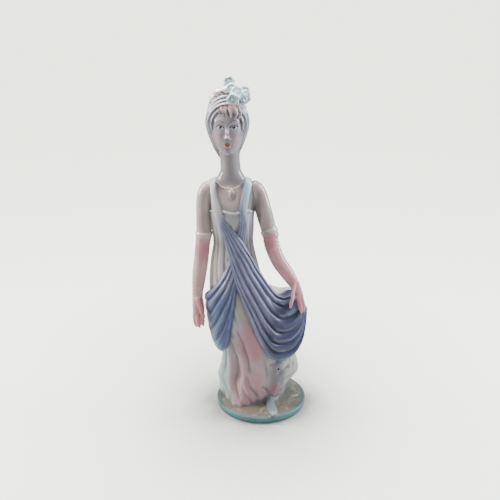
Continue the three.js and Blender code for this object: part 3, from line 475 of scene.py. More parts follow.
def stacked_grid(table, rows, sides):
    """Level oval rings from a table, with each point's angle."""
    levels = row_at(table, np.linspace(0, 1, rows))
    height, x, y, half_width, half_depth = np.moveaxis(levels, -1, 0)[..., None]
    angle = np.arange(sides)[None, :] * FULL_TURN / sides
    grid = np.stack([x + half_width * np.cos(angle), y + half_depth * np.sin(angle), height + 0 * angle], -1)
    return grid, angle


def limb_grid(stations, rows=70, sides=56, reference=(0, 1, 0), relief=None):
    """Oval section along a smooth line of stations: x, y, z, half width, half depth."""
    place = np.linspace(0, 1, rows)
    station = row_at(stations, place)
    tangent = unit(np.gradient(station[:, :3], axis=0))
    across = unit(np.cross(tangent, np.array(reference, float)))
    deep = unit(np.cross(across, tangent))
    angle = np.arange(sides)[None, :] * FULL_TURN / sides
    lift = relief(place[:, None], angle) if relief else 0
    wide = ((station[:, 3:4] + lift) * np.cos(angle))[..., None]
    thick = ((station[:, 4:5] + lift) * np.sin(angle))[..., None]
    return station[:, None, :3] + wide * across[:, None] + thick * deep[:, None]


def limb(stations, **options):
    """Closed limb."""
    return closed_surface(limb_grid(stations, **options))


def rounded_tip(stations):
    """Stations with a half-round end added after the last one."""
    x, y, z, half_width, half_depth = stations[-1]
    ahead = unit(np.array(stations[-1][:3], float) - np.array(stations[-2][:3], float))
    tips = []
    for reach, size in TIP_STEPS:
        spot = np.array((x, y, z)) + ahead * half_width * reach
        tips.append((*spot, half_width * size, half_depth * size))
    return [*stations, *tips]


def base_disc():
    """Round base with a softly rounded rim and a gently domed ground."""
    radius, height = np.array(BASE_PROFILE).T[..., None]
    angle = np.arange(BASE_SIDES)[None, :] * FULL_TURN / BASE_SIDES
    return closed_surface(np.stack([radius * np.cos(angle), radius * np.sin(angle), height + 0 * angle], -1))


def pleat_relief(degrees, height):
    """Pleats of the skirt, dying out towards the hips, with finer creases between them."""
    flare = 1 - np.exp(-height / PLEAT_FLARE)
    rise = np.clip(height / PLEAT_TOP, 0, 1)
    valleys = [hem + (top - hem) * flare for hem, top in PLEATS]
    valleys.append(valleys[0] + 360)
    turned = np.where(degrees < valleys[0], degrees + 360, degrees)
    main = fold_height(turned, valleys) - PLEAT_SINK
    ripple = np.sin(np.radians(turned * PLEAT_FINE["count"]) + height * PLEAT_FINE["lean"])
    swell = np.sin(np.radians(turned * PLEAT_FINE["swells"]) + height * PLEAT_FINE["drift"])
    fine = PLEAT_FINE["depth"] * ripple * swell
    low, start, end = PLEAT_HEM
    depth = PLEAT_DEPTH * (low + (1 - low) * smooth_step(start, end, height))
    return depth * (1 - rise) ** PLEAT_FADE * (main + fine)


def bodice_relief(degrees, height):
    """Soft upright folds of the close-fitting gown between bust and hip."""
    folds = BODICE_FOLDS
    lean = degrees + folds["lean"] * (height - folds["lean_from"])
    amount = folds["depth"] * smooth_step(*folds["begin"], height) * (1 - smooth_step(*folds["end"], height))
    fine = folds["fine_share"] * np.sin(np.radians(lean * folds["fine_count"]) + folds["fine_turn"])
    return amount * (np.sin(np.radians(lean * folds["count"])) + fine)


def crease_relief(degrees, height):
    """Creases pressed into the skirt along their lines."""
    relief = 0 * (degrees + height)
    for line, width, cut in SKIRT_CREASES:
        line = np.array(line, float) * (MILLIMETRES_PER_DEGREE, 1)
        across = degrees * MILLIMETRES_PER_DEGREE
        away, along = np.inf, 0
        for index, (start, end) in enumerate(zip(line[:-1], line[1:])):
            step = end - start
            share = ((across - start[0]) * step[0] + (height - start[1]) * step[1]) / (step @ step)
            share = np.clip(share, 0, 1)
            gap = np.hypot(across - start[0] - share * step[0], height - start[1] - share * step[1])
            along = np.where(gap < away, (index + share) / (len(line) - 1), along)
            away = np.minimum(away, gap)
        relief = relief - cut * np.sin(math.pi * along) ** FOLD_ROUNDNESS * hump(away, 0, width)
    return relief


def bodice_top(across):
    """Height of the bodice's front edge, dipping in the middle and towards the arms."""
    dip = NECKLINE["dip"] * hump(across, NECKLINE["dip_x"], NECKLINE["dip_width"])
    fall = NECKLINE["side"] * smooth_step(*NECKLINE["side_reach"], np.abs(across - NECKLINE["middle_x"]))
    return NECKLINE["front"] - dip - fall


def bodice_margin(across, front, height):
    """How far above the bodice's edge a point lies."""
    return height - np.where(front, bodice_top(across), NECKLINE["back"])


def gown():
    """Gown from the ground to the shoulders: a rolled bodice edge with bare skin above it."""
    levels = row_at(GOWN, np.linspace(0, 1, GOWN_STEPS))
    height, x, half_width, front, back = np.moveaxis(levels, -1, 0)[..., None]
    angle = np.arange(GOWN_SIDES)[None, :] * FULL_TURN / GOWN_SIDES - math.pi
    degrees = np.degrees(angle)
    facing = np.sin(angle) < 0
    relief = pleat_relief(degrees, height) + crease_relief(degrees, height) + bodice_relief(degrees, height)
    above = bodice_margin(x + half_width * np.cos(angle), facing, height)
    lip = NECKLINE["lip"] * hump(above, NECKLINE["lip_drop"], NECKLINE["lip_width"])
    relief = relief - SKIN_SINK * smooth_step(-NECKLINE["step"], NECKLINE["step"], above) + lip
    side = np.cos(angle)
    depth = np.where(facing, front, back)
    hem_place, hem_x, hem_y = np.array(HEM, float).T
    blend = 1 - smooth_step(*HEM_BLEND, height)
    body_x, body_y = x + half_width * side, depth * np.sin(angle)
    skirt_x = body_x + blend * (np.interp(degrees, hem_place, hem_x) - body_x)
    skirt_y = body_y + blend * (np.interp(degrees, hem_place, hem_y) - body_y)
    grid = np.stack([skirt_x + relief * side, skirt_y + relief * np.sin(angle), height + 0 * angle], -1)
    return closed_surface(grid)


def shawl_panel(side, rows, valleys_start, valleys_end, creases, steps=300, points=220, lining=40):
    """Folded panel of the shawl, following its rows of edges."""
    along = np.linspace(0, 1, steps)
    row = row_at(rows, along)
    upper, lower = row[:, None, :3], row[:, None, 3:6]
    swell, depth, fold = row[:, 6:7], row[:, 7:8], row[:, 8:9]
    middle = (upper + lower)[:, 0] / 2
    outward = side * unit(np.cross(np.gradient(middle, axis=0), (upper - lower)[:, 0]))[:, None]
    spread_start, spread_length = FAN_SPREAD
    spread = np.clip((along - spread_start) / spread_length, 0, 1)[:, None]
    valleys = [low + (high - low) * spread for low, high in zip(valleys_start, valleys_end)]
    edges = [0 * spread, *valleys, 0 * spread + 1]
    across = np.linspace(0, 1, points)[None, :]
    wave = np.sin(FOLD_WANDER["along"] * along[:, None] + FOLD_WANDER["across"] * across)
    wander = FOLD_WANDER["reach"] * wave * np.sin(math.pi * across)
    arch = np.sqrt(np.maximum(1 - (2 * across - 1) ** 2, 0))
    sink = FOLD_SINK + FOLD_RAISE * (FOLD_DEPTH - 1)
    lift = swell * arch + fold * (FOLD_DEPTH * fold_height(across + wander, edges) - sink)
    for place, begin, finish, cut in creases:
        fade = smooth_step(begin, begin + CREASE_FADE, along)
        fade = fade * (1 - smooth_step(finish - CREASE_FADE, finish, along))
        lift = lift - fold * cut * fade[:, None] * hump(across + wander, place, CREASE_WIDTH)
    outer = upper + (lower - upper) * across[..., None] + lift[..., None] * outward
    inset = np.linspace(*LINING_INSET, lining)[None, :, None]
    inner = upper + (lower - upper) * inset - depth[..., None] * outward
    return closed_surface(np.concatenate([outer, inner], 1))


def face_relief(x, z):
    """Forward relief of a calm, plain face."""
    side = np.abs(x - FACE_X)
    rise = 0 * x
    for across, height, spread_x, spread_z, amount in FACE_FORMS + FACE_MIDLINE:
        rise = rise + amount * hump(side, across, spread_x) * hump(z, height, spread_z)
    return rise


def skull():
    """Head with its face."""
    grid, angle = stacked_grid(HEAD, rows=240, sides=300)
    front = smooth_step(*FACE_FRONT, -np.sin(angle))
    grid[..., 1] -= face_relief(grid[..., 0], grid[..., 2]) * front
    return closed_surface(grid)


def hood():
    """Hood of the turban, its wraps crossing behind, sunk where the face looks out."""
    grid, angle = stacked_grid(HOOD, rows=200, sides=240)
    x, z = grid[..., 0], grid[..., 2]
    ahead = smooth_step(*HOOD_FRONT, -np.sin(angle))
    crown = smooth_step(HOOD_TUCK["low"], HOOD_TUCK["high"], z)
    grid[..., 0] -= HOOD_TUCK["side"] * np.cos(angle) * ahead
    grid[..., 1] += HOOD_TUCK["crown"] * crown * -np.sin(angle) * ahead
    swirl = np.sin(z * HOOD_WRAPS["rise"] + HOOD_WRAPS["swirl"] * np.sin(angle * 0.5) ** 2)
    wraps = HOOD_WRAPS["depth"] * swirl * smooth_step(*HOOD_WRAPS["from"], np.sin(angle))
    outward = np.stack([np.cos(angle) + 0 * z, np.sin(angle) + 0 * z, 0 * z], -1)
    grid = grid + wraps[..., None] * outward
    hole = FACE_OPENING
    oval = ((x - hole["x"]) / hole["half_width"]) ** 2 + ((z - hole["z"]) / hole["half_height"]) ** 2
    forward = smooth_step(-hole["front"], -hole["front"] + hole["ease"], -grid[..., 1])
    grid[..., 1] += hole["sink"] * (1 - smooth_step(*hole["edge"], oval)) * forward
    return closed_surface(grid)


def turban_band(reach, rise, brow, jaw, roll):
    """Rolled band from jaw to jaw over the brow."""
    turn = np.radians(np.linspace(BAND_START, 180 - BAND_START, BAND_STEPS))
    height = np.where(np.sin(turn) < 0, rise * BAND_DROP, rise) * np.sin(turn)
    up = (np.sin(turn) + 1) / 2
    thin, gain = BAND_THINNING
    radius = roll * (thin + gain * np.minimum(up * 2, 1))
    reach = reach * (1 - BAND_TAPER * np.maximum(-np.sin(turn), 0))
    x = HEAD_CENTRE[0] + BAND_SHIFT + reach * np.cos(turn)
    y = jaw + (brow - jaw) * up
    stations = np.stack([x, y, HEAD_CENTRE[2] + height, radius, radius * BAND_DEPTH], -1)
    return limb(stations, rows=240, sides=40)


def crown_puff(form):
    """Puff of cloth with shallow gathers."""
    points, faces = pebble(form, rows=50, sides=80)
    centre = np.array(form[:3])
    away = points - centre
    turn = np.arctan2(away[:, 2], away[:, 0])
    (broad_count, broad), (fine_count, fine) = PUFF_GATHERS
    gather = 1 + broad * np.sin(turn * broad_count + form[0]) + fine * np.sin(turn * fine_count + form[2])
    return centre + away * gather[:, None], faces


def bloom(x, y, z, reach, facing):
    """Dished rosette of five rounded petals round a button."""
    face = unit(np.array(facing, float))
    right = unit(np.cross(face, (0, 0, 1)))
    top = unit(np.cross(right, face))
    angle = np.arange(BLOOM_SIDES) * FULL_TURN / BLOOM_SIDES
    notch = (1 - np.abs(np.cos(PETALS * angle / 2 + PETAL_NOTCH["turn"] * x))) ** PETAL_NOTCH["width"]
    rings = []
    for radius, lift in row_at(BLOOM_PROFILE, np.linspace(0, 1, BLOOM_RINGS)):
        petal = smooth_step(*PETAL_NOTCH["from"], radius) * notch
        span = reach * radius * (1 - PETAL_NOTCH["span"] * petal)
        cup = reach * (lift - PETAL_NOTCH["cup"] * petal)
        spoke = np.cos(angle)[:, None] * right + np.sin(angle)[:, None] * top
        rings.append(np.array((x, y, z)) + span[:, None] * spoke + cup[:, None] * face)
    return closed_surface(np.array(rings))


def hair_lock(stations):
    """Lock of the fringe with combed strands."""
    def strands(place, angle):
        return HAIR_STRANDS["depth"] * np.cos(angle * HAIR_STRANDS["count"])
    return limb(rounded_tip(stations), rows=50, sides=48, relief=strands)


def glove_relief(elbow, wrist):
    """Creases of a long glove at the elbow and the wrist, given as places along the arm."""
    def relief(place, angle):
        lean = CREASE_LEAN * np.sin(angle)
        bend = hump(place, elbow, ELBOW_CREASE["reach"]) * np.sin((place + lean) * ELBOW_CREASE["turn"])
        hand = hump(place, wrist, WRIST_CREASE["reach"]) * np.sin((place - lean) * WRIST_CREASE["turn"])
        inner = ELBOW_CREASE["even"] + ELBOW_CREASE["inner"] * np.cos(angle)
        return ELBOW_CREASE["depth"] * bend * inner + WRIST_CREASE["depth"] * hand
    return relief


def necklace_relief(place, angle):
    """Beads of the necklace."""
    return CHAIN_BEADS["depth"] * np.sin(place * CHAIN_BEADS["turn"])


def modelled_groups():
    """Surfaces of the figurine, in groups that are painted alike."""
    drapes = (FRONT_DRAPE, SIDE_DRAPE, BACK_DRAPE, NAPE_DRAPE)
    right_glove = glove_relief(*GLOVE_CREASES["right"])
    left_glove = glove_relief(*GLOVE_CREASES["left"])
    fingers = [limb(rounded_tip(part)) for part in RIGHT_HAND + LEFT_HAND]
    return {
        "ground": [base_disc(), pebble(GROUND_SWELL)],
        "gown": [gown()],
        "shawl": [shawl_panel(**drape) for drape in drapes] + [pebble(core) for core in OVERSKIRT_CORES],
        "skin": [skull(), limb(NECK, rows=90, sides=120)],
        "arm": [
            limb(RIGHT_ARM, rows=260, sides=90, relief=right_glove),
            limb(LEFT_ARM, rows=260, sides=90, relief=left_glove),
        ],
        "hand": fingers + [limb(rim) for rim in GLOVE_RIMS],
        "cuff": [limb(RIGHT_CUFF, rows=60, sides=100), limb(LEFT_CUFF, rows=60, sides=100)],
        "turban": [hood()] + [turban_band(**band) for band in BANDS],
        "puff": [crown_puff(puff) for puff in PUFFS],
        "hair": [hair_lock(lock) for lock in LOCKS],
        "bloom": [bloom(*flower) for flower in BLOOMS] + [limb(FLOWER_STEM), limb(FLOWER_BED)],
        "jewel": [limb(CHAIN, rows=300, sides=16, relief=necklace_relief), pebble(DROP)],
        "shoe": [limb(rounded_tip(SHOE), rows=90, sides=90, reference=(0, 0, 1))],
    }


def joined_surfaces(surfaces):
    """Vertices and faces of many surfaces as one pair of arrays."""
    points, faces, offset = [], [], 0
    for surface_points, surface_faces in surfaces:
        points.append(surface_points)
        faces.append(surface_faces + offset)
        offset += len(surface_points)
    return np.concatenate(points), np.concatenate(faces)


def mesh_of(name, points, faces):
    """Blender mesh from arrays in millimetres."""
    mesh = bpy.data.meshes.new(name)
    mesh.vertices.add(len(points))
    mesh.vertices.foreach_set("co", points.astype(np.float32).ravel())
    mesh.loops.add(faces.size)
    mesh.loops.foreach_set("vertex_index", faces.astype(np.int32).ravel())
    mesh.polygons.add(len(faces))
    mesh.polygons.foreach_set("loop_start", np.arange(len(faces), dtype=np.int32) * faces.shape[1])
    mesh.update(calc_edges=True)
    mesh.validate()
    return mesh


def applied(name, mesh, *modifiers):
    """Mesh after modifiers: each one a kind and its settings."""
    holder = bpy.data.objects.new(name, mesh)
    bpy.context.scene.collection.objects.link(holder)
    for kind, settings in modifiers:
        modifier = holder.modifiers.new(kind.title(), kind)
        for setting, value in settings.items():
            setattr(modifier, setting, value)
    graph = bpy.context.evaluated_depsgraph_get()
    result = bpy.data.meshes.new_from_object(holder.evaluated_get(graph))
    bpy.data.objects.remove(holder)
    return result


def vertex_array(mesh):
    """Vertex places of a mesh."""
    points = np.zeros(len(mesh.vertices) * 3, np.float32)
    mesh.vertices.foreach_get("co", points)
    return points.reshape(-1, 3).astype(float)


def vent_pin():
    """Pin that bores the vent hole through the skirt."""
    line = [(VENT["x"], VENT["y"] + shift, VENT["z"], VENT["radius"], VENT["radius"])
            for shift in np.linspace(-VENT["depth"] / 2, VENT["depth"] / 2, 4)]
    return mesh_of("vent_pin", *limb(line, rows=6, sides=24, reference=(0, 0, 1)))


def figurine_mesh(groups):
    """All forms fused, softened like glazed slip and thinned to the triangle budget."""
    every = [surface for surfaces in groups.values() for surface in surfaces]
    raw = mesh_of("figurine_forms", *joined_surfaces(every))
    fused = applied("fused", raw, ("REMESH", {"mode": "VOXEL", "voxel_size": VOXEL, "adaptivity": 0}))
    softened = applied("softened", fused, ("SMOOTH", SOFTENING))
    triangles = 2 * len(softened.polygons)
    thinned = applied("thinned", softened, ("DECIMATE", {"ratio": min(TRIANGLES / triangles, 1)}))
    pin = bpy.data.objects.new("vent_pin", vent_pin())
    bpy.context.scene.collection.objects.link(pin)
    bore = {"operation": "DIFFERENCE", "object": pin, "solver": "MANIFOLD"}
    bored = applied("bored", thinned, ("BOOLEAN", bore))
    bpy.data.objects.remove(pin)
    points = vertex_array(bored)
    points[:, 2] = np.maximum(points[:, 2], 0)
    bored.vertices.foreach_set("co", points.astype(np.float32).ravel())
    return bored


def distances(points, surfaces, reach=PAINT_REACH):
    """Distance from each point to a group of surfaces, up to a reach."""
    surface_points, surface_faces = joined_surfaces(surfaces)
    low, high = surface_points.min(0) - reach, surface_points.max(0) + reach
    near = np.nonzero(np.all((points >= low) & (points <= high), axis=1))[0]
    tree = BVHTree.FromPolygons(surface_points.tolist(), surface_faces.tolist())
    result = np.full(len(points), reach)
    for index in near:
        found = tree.find_nearest(Vector(points[index]), reach)
        if found[3] is not None:
            result[index] = found[3]
    return result


def hollowness(mesh, points, steps, spread):
    """How far each point stands proud of its smoothed surroundings, in millimetres: below 0 in a valley."""
    edges = np.zeros(len(mesh.edges) * 2, np.int32)
    mesh.edges.foreach_get("vertices", edges)
    one, other = edges.reshape(-1, 2).T
    degree = np.bincount(one, minlength=len(points)) + np.bincount(other, minlength=len(points))
    normals = np.zeros(len(points) * 3, np.float32)
    mesh.vertices.foreach_get("normal", normals)

    def smoothed(columns, rounds):
        for _ in range(rounds):
            for axis in range(columns.shape[1]):
                column = columns[:, axis]
                total = np.bincount(one, column[other], len(column))
                total += np.bincount(other, column[one], len(column))
                columns[:, axis] = 0.5 * column + 0.5 * total / degree
        return columns

    proud = np.einsum("ij,ij->i", points - smoothed(points.copy(), steps), normals.reshape(-1, 3))
    return smoothed(proud[:, None], spread)[:, 0]


def store(mesh, name, values):
    """Float value of every vertex, for the glaze painting."""
    attribute = mesh.attributes.new(name, "FLOAT", "POINT")
    attribute.data.foreach_set("value", values.astype(np.float32))


def paint_borders(mesh, groups):
    """How far inside each painted area a vertex lies, in millimetres: above 0 is inside."""
    points = vertex_array(mesh)
    far = {name: distances(points, surfaces) for name, surfaces in groups.items()}
    names = list(groups)
    table = np.stack([far[name] for name in names])
    margins = {}
    for index, name in enumerate(names):
        others = np.delete(table, index, axis=0).min(0)
        margins[name] = others - table[index]
    x, y, z = points.T
    limbs = np.maximum(margins["arm"], margins["hand"])
    right_line = CUFF_LINES["right"] - z
    left_line = CUFF_LINES["left"] - z + CUFF_LINES["lean"] * (x - CUFF_LINES["left_x"])
    cuff_line = np.where(x < CUFF_LINES["split_x"], right_line, left_line)
    glove = np.minimum(limbs, cuff_line)
    bare = np.minimum(margins["gown"], bodice_margin(x, y < 0, z))
    arm_bare = np.minimum(limbs, -cuff_line)
    painted = {
        "shawl": margins["shawl"],
        "glove": glove,
        "cuff": margins["cuff"],
        "skin": np.maximum(np.maximum(margins["skin"], bare), margins["jewel"]),
        "arm": arm_bare,
        "turban": margins["turban"],
        "puff": margins["puff"],
        "hair": margins["hair"],
        "bloom": margins["bloom"],
        "shoe": margins["shoe"],
        "ground": margins["ground"],
    }
    for name, values in painted.items():
        store(mesh, name, values)
    for name, (steps, spread) in HOLLOW_SCALES.items():
        store(mesh, name, hollowness(mesh, points, steps, spread))


def linear(red, green, blue):
    """Scene colour of a paint given in display values from 0 to 255, by the standard display curve."""
    def one(value):
        value = value / 255
        return value / 12.92 if value <= 0.04045 else ((value + 0.055) / 1.055) ** 2.4
    return one(red), one(green), one(blue), 1.0


# Underglaze paints, with the paints of the painted shade, highlights and glints
PORCELAIN = linear(210, 210, 214)
GOWN_SHADE = linear(118, 114, 122)
GOWN_GREY = linear(176, 174, 182)
ROSE = linear(214, 146, 158)
CREAM = linear(214, 208, 192)
HIP_HIGHLIGHT = linear(252, 244, 232)
EDGE_AQUA_HIGHLIGHT = linear(204, 238, 244)
SHAWL_BLUE = linear(142, 145, 180)
SHAWL_VALLEY_SHADE = linear(82, 90, 114)
SHAWL_PALE_AND_HIGHLIGHT = linear(198, 206, 232)
SHAWL_LOWER_RIGHT_SHADE = linear(134, 140, 158)
SHAWL_SLATE = linear(164, 191, 214)
SHAWL_LILAC = linear(246, 238, 236)
SHAWL_SKY_AND_HIGHLIGHT = linear(214, 236, 255)
TEAL = linear(84, 166, 180)
GLOVE_ROSE = linear(238, 172, 178)
GLOVE_DEEP = linear(222, 136, 150)
GLOVE_PALE_AND_HIGHLIGHT = linear(248, 202, 200)
GLOVE_SHADE = linear(170, 112, 126)
CUFF_PINK = linear(240, 220, 216)
ARM_BEIGE = linear(224, 206, 200)
ARM_SHADE = linear(142, 130, 128)
SKIN = linear(184, 177, 182)
SKIN_SHADE = linear(158, 142, 144)
CHEST_PEACH = linear(252, 228, 216)
BLUSH = linear(232, 160, 164)
TURBAN_HIGHLIGHT_CREAM = linear(240, 238, 234)
TURBAN_GREY = linear(170, 170, 188)
TURBAN_VALLEY_SHADE = linear(132, 130, 148)
PUFF_CREAM = linear(255, 250, 246)
PUFF_SHADE = linear(190, 158, 150)
HAIR_ROOT_AND_SHADE = linear(168, 126, 122)
HAIR = linear(182, 168, 176)
HAIR_HIGHLIGHT = linear(230, 220, 218)
BLOOM_AQUA = linear(226, 250, 255)
BLOOM_HEART = linear(206, 238, 252)
SHOE_BLUE = linear(104, 118, 124)
SHOE_PALE = linear(124, 138, 144)
GROUND_BEIGE = linear(118, 104, 92)
GROUND_GREY = linear(118, 122, 112)
GROUND_CREAM = linear(178, 166, 146)
RIM_CREAM = linear(100, 118, 116)
RIM_TEAL = linear(88, 146, 152)
RIM_DARK = linear(50, 92, 96)
LIP_RED = linear(190, 58, 70)
BROW_BROWN = linear(120, 98, 98)
LASH_DARK = linear(34, 36, 48)
IRIS_BLUE = linear(66, 88, 120)
EYE_WHITE_AND_GLINT = linear(236, 238, 240)
VENT_SHADE = linear(20, 20, 22)

VENT_CENTRE = (VENT["x"], VENT["y"], VENT["z"])

# Cloudy paints of an area: first paint, second paint, then the noise values between which the second comes in
# and how much of it there is
CLOUDY_PAINTS = {
    "gown": (PORCELAIN, GOWN_GREY, 0.35, 0.7, 0.5),
    "arm": (ARM_BEIGE, ARM_SHADE, 0.3, 0.7, 0.4),
    "shawl": (SHAWL_BLUE, SHAWL_PALE_AND_HIGHLIGHT, 0.4, 0.75, 0.3),
    "glove": (GLOVE_ROSE, GLOVE_PALE_AND_HIGHLIGHT, 0.35, 0.7, 1.0),
    "shoe": (SHOE_BLUE, SHOE_PALE, 0.3, 0.7, 1.0),
}

# Painted shade in valleys: its paint, then its strength in fine creases and in broad hollows
VALLEY_SHADE_PAINTS = {
    "gown": (GOWN_SHADE, 0.7, 0.8),
    "arm": (ARM_SHADE, 0.7, 0.5),
    "shawl": (SHAWL_VALLEY_SHADE, 0.6, 0.7),
    "glove": (GLOVE_SHADE, 0.8, 0.6),
    "turban": (TURBAN_VALLEY_SHADE, 0.9, 0.7),
    # the hair's root paint doubles as its painted shade
    "hair": (HAIR_ROOT_AND_SHADE, 0.8, 0.3),
    "skin": (SKIN_SHADE, 0.6, 0.5),
    "cuff": (GLOVE_SHADE, 0.6, 0.4),
}
FINE_DIP = (0.04, -0.26)
BROAD_DIP = (0.0, -1.1)

# Sprayed patches in millimetres: centre, reach along each axis, core as a share of the reach, strength, paint
GOWN_PATCHES = [
    ((-14, -20, 100), (12, 14, 22), 0.3, 0.6, CREAM),
    ((26, -8, 42), (16, 16, 24), 0.3, 0.7, CREAM),
    # painted highlight, warm white, on the gown's left side by the hip
    ((-44, -6, 134), (12, 16, 34), 0.3, 0.8, HIP_HIGHLIGHT),
    # painted shade on the lower right of the skirt
    ((14, -20, 32), (11, 16, 34), 0.3, 0.75, GOWN_SHADE),
]
SHAWL_SHADE_AND_TINTS = [
    # painted shade on the shawl's lower right; the next row is a slate tint on the lower left
    ((20, -12, 76), (30, 26, 46), 0.55, 1.0, SHAWL_LOWER_RIGHT_SHADE),
    ((-36, -8, 84), (27, 32, 54), 0.5, 1.0, SHAWL_SLATE),
]
SHOULDER_PATCHES = [
    ((-39, -8, 198), (11, 18, 30), 0.35, 0.8, SHAWL_LILAC),
    # pale sky-blue paint, partly a painted highlight on the right shoulder band
    ((-12, -8, 202), (8, 18, 26), 0.5, 1.0, SHAWL_SKY_AND_HIGHLIGHT),
]
LINING_PATCHES = [((17, 2, 111), (15, 10, 7), 0.5, 0.85, PORCELAIN)]
# painted highlight, pale pink, midway down one glove
FOREARM_HIGHLIGHT_PATCHES = [((-54, -6, 132), (10, 10, 14), 0.2, 0.7, GLOVE_PALE_AND_HIGHLIGHT)]
# painted shade under the left cuff
CUFF_PATCHES = [((5, -6, 165), (9, 8, 8), 0.3, 0.5, GLOVE_SHADE)]
GROUND_PATCHES = [((32, 4, 9), (26, 34, 12), 0.4, 1.0, GROUND_GREY)]
CHEST_PATCHES = [
    ((-26, -12, 202), (16, 14, 14), 0.4, 0.9, CHEST_PEACH),
    # painted shade on the lower right of the drop
    ((-24.6, -11, 201.6), (3.2, 4, 5), 0.4, 0.7, SKIN_SHADE),
]
# painted shade inside the vent hole
VENT_SHADE_PATCHES = [(VENT_CENTRE, (1.2, 5, 1.2), 0.85, 1.0, VENT_SHADE)]

# Patches that are sprayed as one: centre, reach along each axis, core as a share of the reach, strength
ROSE_SPRAYS = [
    ((-11, -22, 66), (20, 22, 36), 0.25, 0.95), ((-14, -22, 32), (30, 22, 50), 0.2, 0.8),
    ((10, -16, 18), (18, 14, 16), 0.2, 0.6), ((-38, -6, 24), (7, 12, 12), 0.3, 0.6),
]
# painted shade on the inner sides of the arms
INNER_ARM_SHADE_SPRAYS = [((-4, -3, 186), (5, 8, 22), 0.4, 0.9), ((-44, -3, 186), (4, 8, 24), 0.4, 0.6)]
TEAL_SPRAYS = [((-42, -8, 61), (14, 20, 12), 0.45, 1.0), ((24, -12, 50), (24, 22, 8), 0.2, 0.6)]
GLOVE_SPRAYS = [
    ((-47, -4, 152), (7, 12, 16), 0.1, 0.5), ((-55, -10, 100), (8, 8, 14), 0.2, 0.9),
    ((5, -4, 158), (9, 10, 16), 0.1, 0.7), ((32, -11, 104), (8, 8, 14), 0.2, 0.8),
]
# painted shade in two dimples of the puffs
PUFF_DIMPLE_SHADE = [((-34.3, -9, 286.3), (3, 6, 1.9), 0, 0.8), ((-39.6, -7, 282.1), (2.4, 6, 2), 0, 0.8)]

# Ranges over which a paint comes in: noise values, metres, or millimetres proud of the surroundings
ROSE_CLOUDS = (0.2, 0.7, 0.8, 1.0)
# painted highlight, aqua white, down the skirt's left edge
AQUA_EDGE_HIGHLIGHT = {"x": (-0.026, -0.034), "z": (0.075, 0.055), "strength": 0.55}
# painted highlight on the shawl's crests
SHAWL_CREST_HIGHLIGHT = (0.16, 0.3, 0.0, 0.3)
# painted highlight on the turban's crests
TURBAN_CREST_HIGHLIGHT = (0.1, 0.28)
# painted shade in the puffs' gathers
PUFF_GATHER_SHADE = (0.1, -0.2)
HAIR_ROOT_LINE = (0.2762, 0.2722)
# painted highlight on the locks' crests
HAIR_CREST_HIGHLIGHT = (0.28, 0.42, 0.0, 0.8)
BLOOM_VALLEY = (-0.06, -0.4)
GROUND_MOTTLE = {"scale": 160.0, "detail": 5.0, "roughness": 0.7}
GROUND_MOTTLE_GREY = (0.35, 0.7, 0.0, 0.5)
GROUND_BLOTCHES = {"scale": 110.0, "detail": 6.0, "roughness": 0.75}
GROUND_BLOTCH_CREAM = (0.5, 0.66, 0.0, 0.6)
RIM_WAVER = {"scale": 90.0, "reach": 0.0016}
RIM_CREAM_LINE = (0.0375, 0.0405)
RIM_TEAL_LINE = (0.0412, 0.0422)
RIM_DARK_FOOT = (0.004, 0.0008)

# Painted face, about its middle. Cheeks and lips: aside, y, z, reach along each axis, core, strength.
# Eyes: shift, height, reach, core, paint. Lines over the eye: shift, reach, thickness, lift, strength, paint.
CHEEK_SPRAY = (8.0, -13, 250.5, (5, 6, 4.6), 0.0, 0.6)
LIP_SPRAYS = [
    (-1, -16, 246, (1.7, 6, 0.9), 0.75, 1.0), (1, -16, 246, (1.7, 6, 0.9), 0.75, 1.0),
    (0, -16, 245, (2.1, 6, 1.2), 0.75, 1.0),
]
EYE_ASIDE = 5.5
EYE_Y = -15.5
EYE_PAINTS = [
    (0, 259.2, (2.9, 8, 1.45), 0.8, EYE_WHITE_AND_GLINT), (0, 259.4, (1.5, 8, 1.5), 0.8, IRIS_BLUE),
    # the second mark on the next line is a painted glint, a white highlight dot in each eye
    (0, 259.4, (0.75, 8, 0.75), 0.8, LASH_DARK), (-0.5, 260.0, (0.4, 8, 0.4), 0.6, EYE_WHITE_AND_GLINT),
]
EYE_LINE_Z = 258.4
EYE_LINES = [
    (0.2, (3.2, 1000, 2.2), 0.22, 0.15, 1.0, LASH_DARK), (0.2, (3.5, 1000, 3.6), 0.09, 0.45, 0.5, BROW_BROWN),
    (0.3, (4.6, 1000, 6.2), 0.07, 0.66, 0.85, BROW_BROWN),
]

# Glaze: its cloudiness and grain, its roughness, and how much less gloss the ground and the shawl have
CLOUD_SCALE = 60.0
GRAIN = {"scale": 900.0, "detail": 4.0}
GRAIN_ROUGHNESS = (0.2, 0.8, 0.13, 0.24)
INTO_AREA = (-0.2, 0.6)
SHAWL_SATIN = 0.2
FULL_COAT = 0.8
GROUND_COAT = 0.25
SHAWL_COAT = 0.25
COAT_ROUGHNESS = 0.05
GLAZE_IOR = 1.5
DIMPLE = {"scale": 260.0, "detail": 2.0}
DIMPLE_STRENGTH = 0.12
DIMPLE_DEPTH = 0.0002

# Brush and spray: how uneven and soft a hand-painted border is, how a stroke ends
BORDER_NOISE = {"scale": 420.0, "detail": 2.0}
BORDER_WAVER = 0.15
BORDER_SOFTNESS = 0.14
STROKE_CORE = 0.4
STROKE_FADE = 0.25
ORIGIN = (0.0, 0.0, 0.0)
ALL_ROUND = (1.0, 1.0, 1.0)


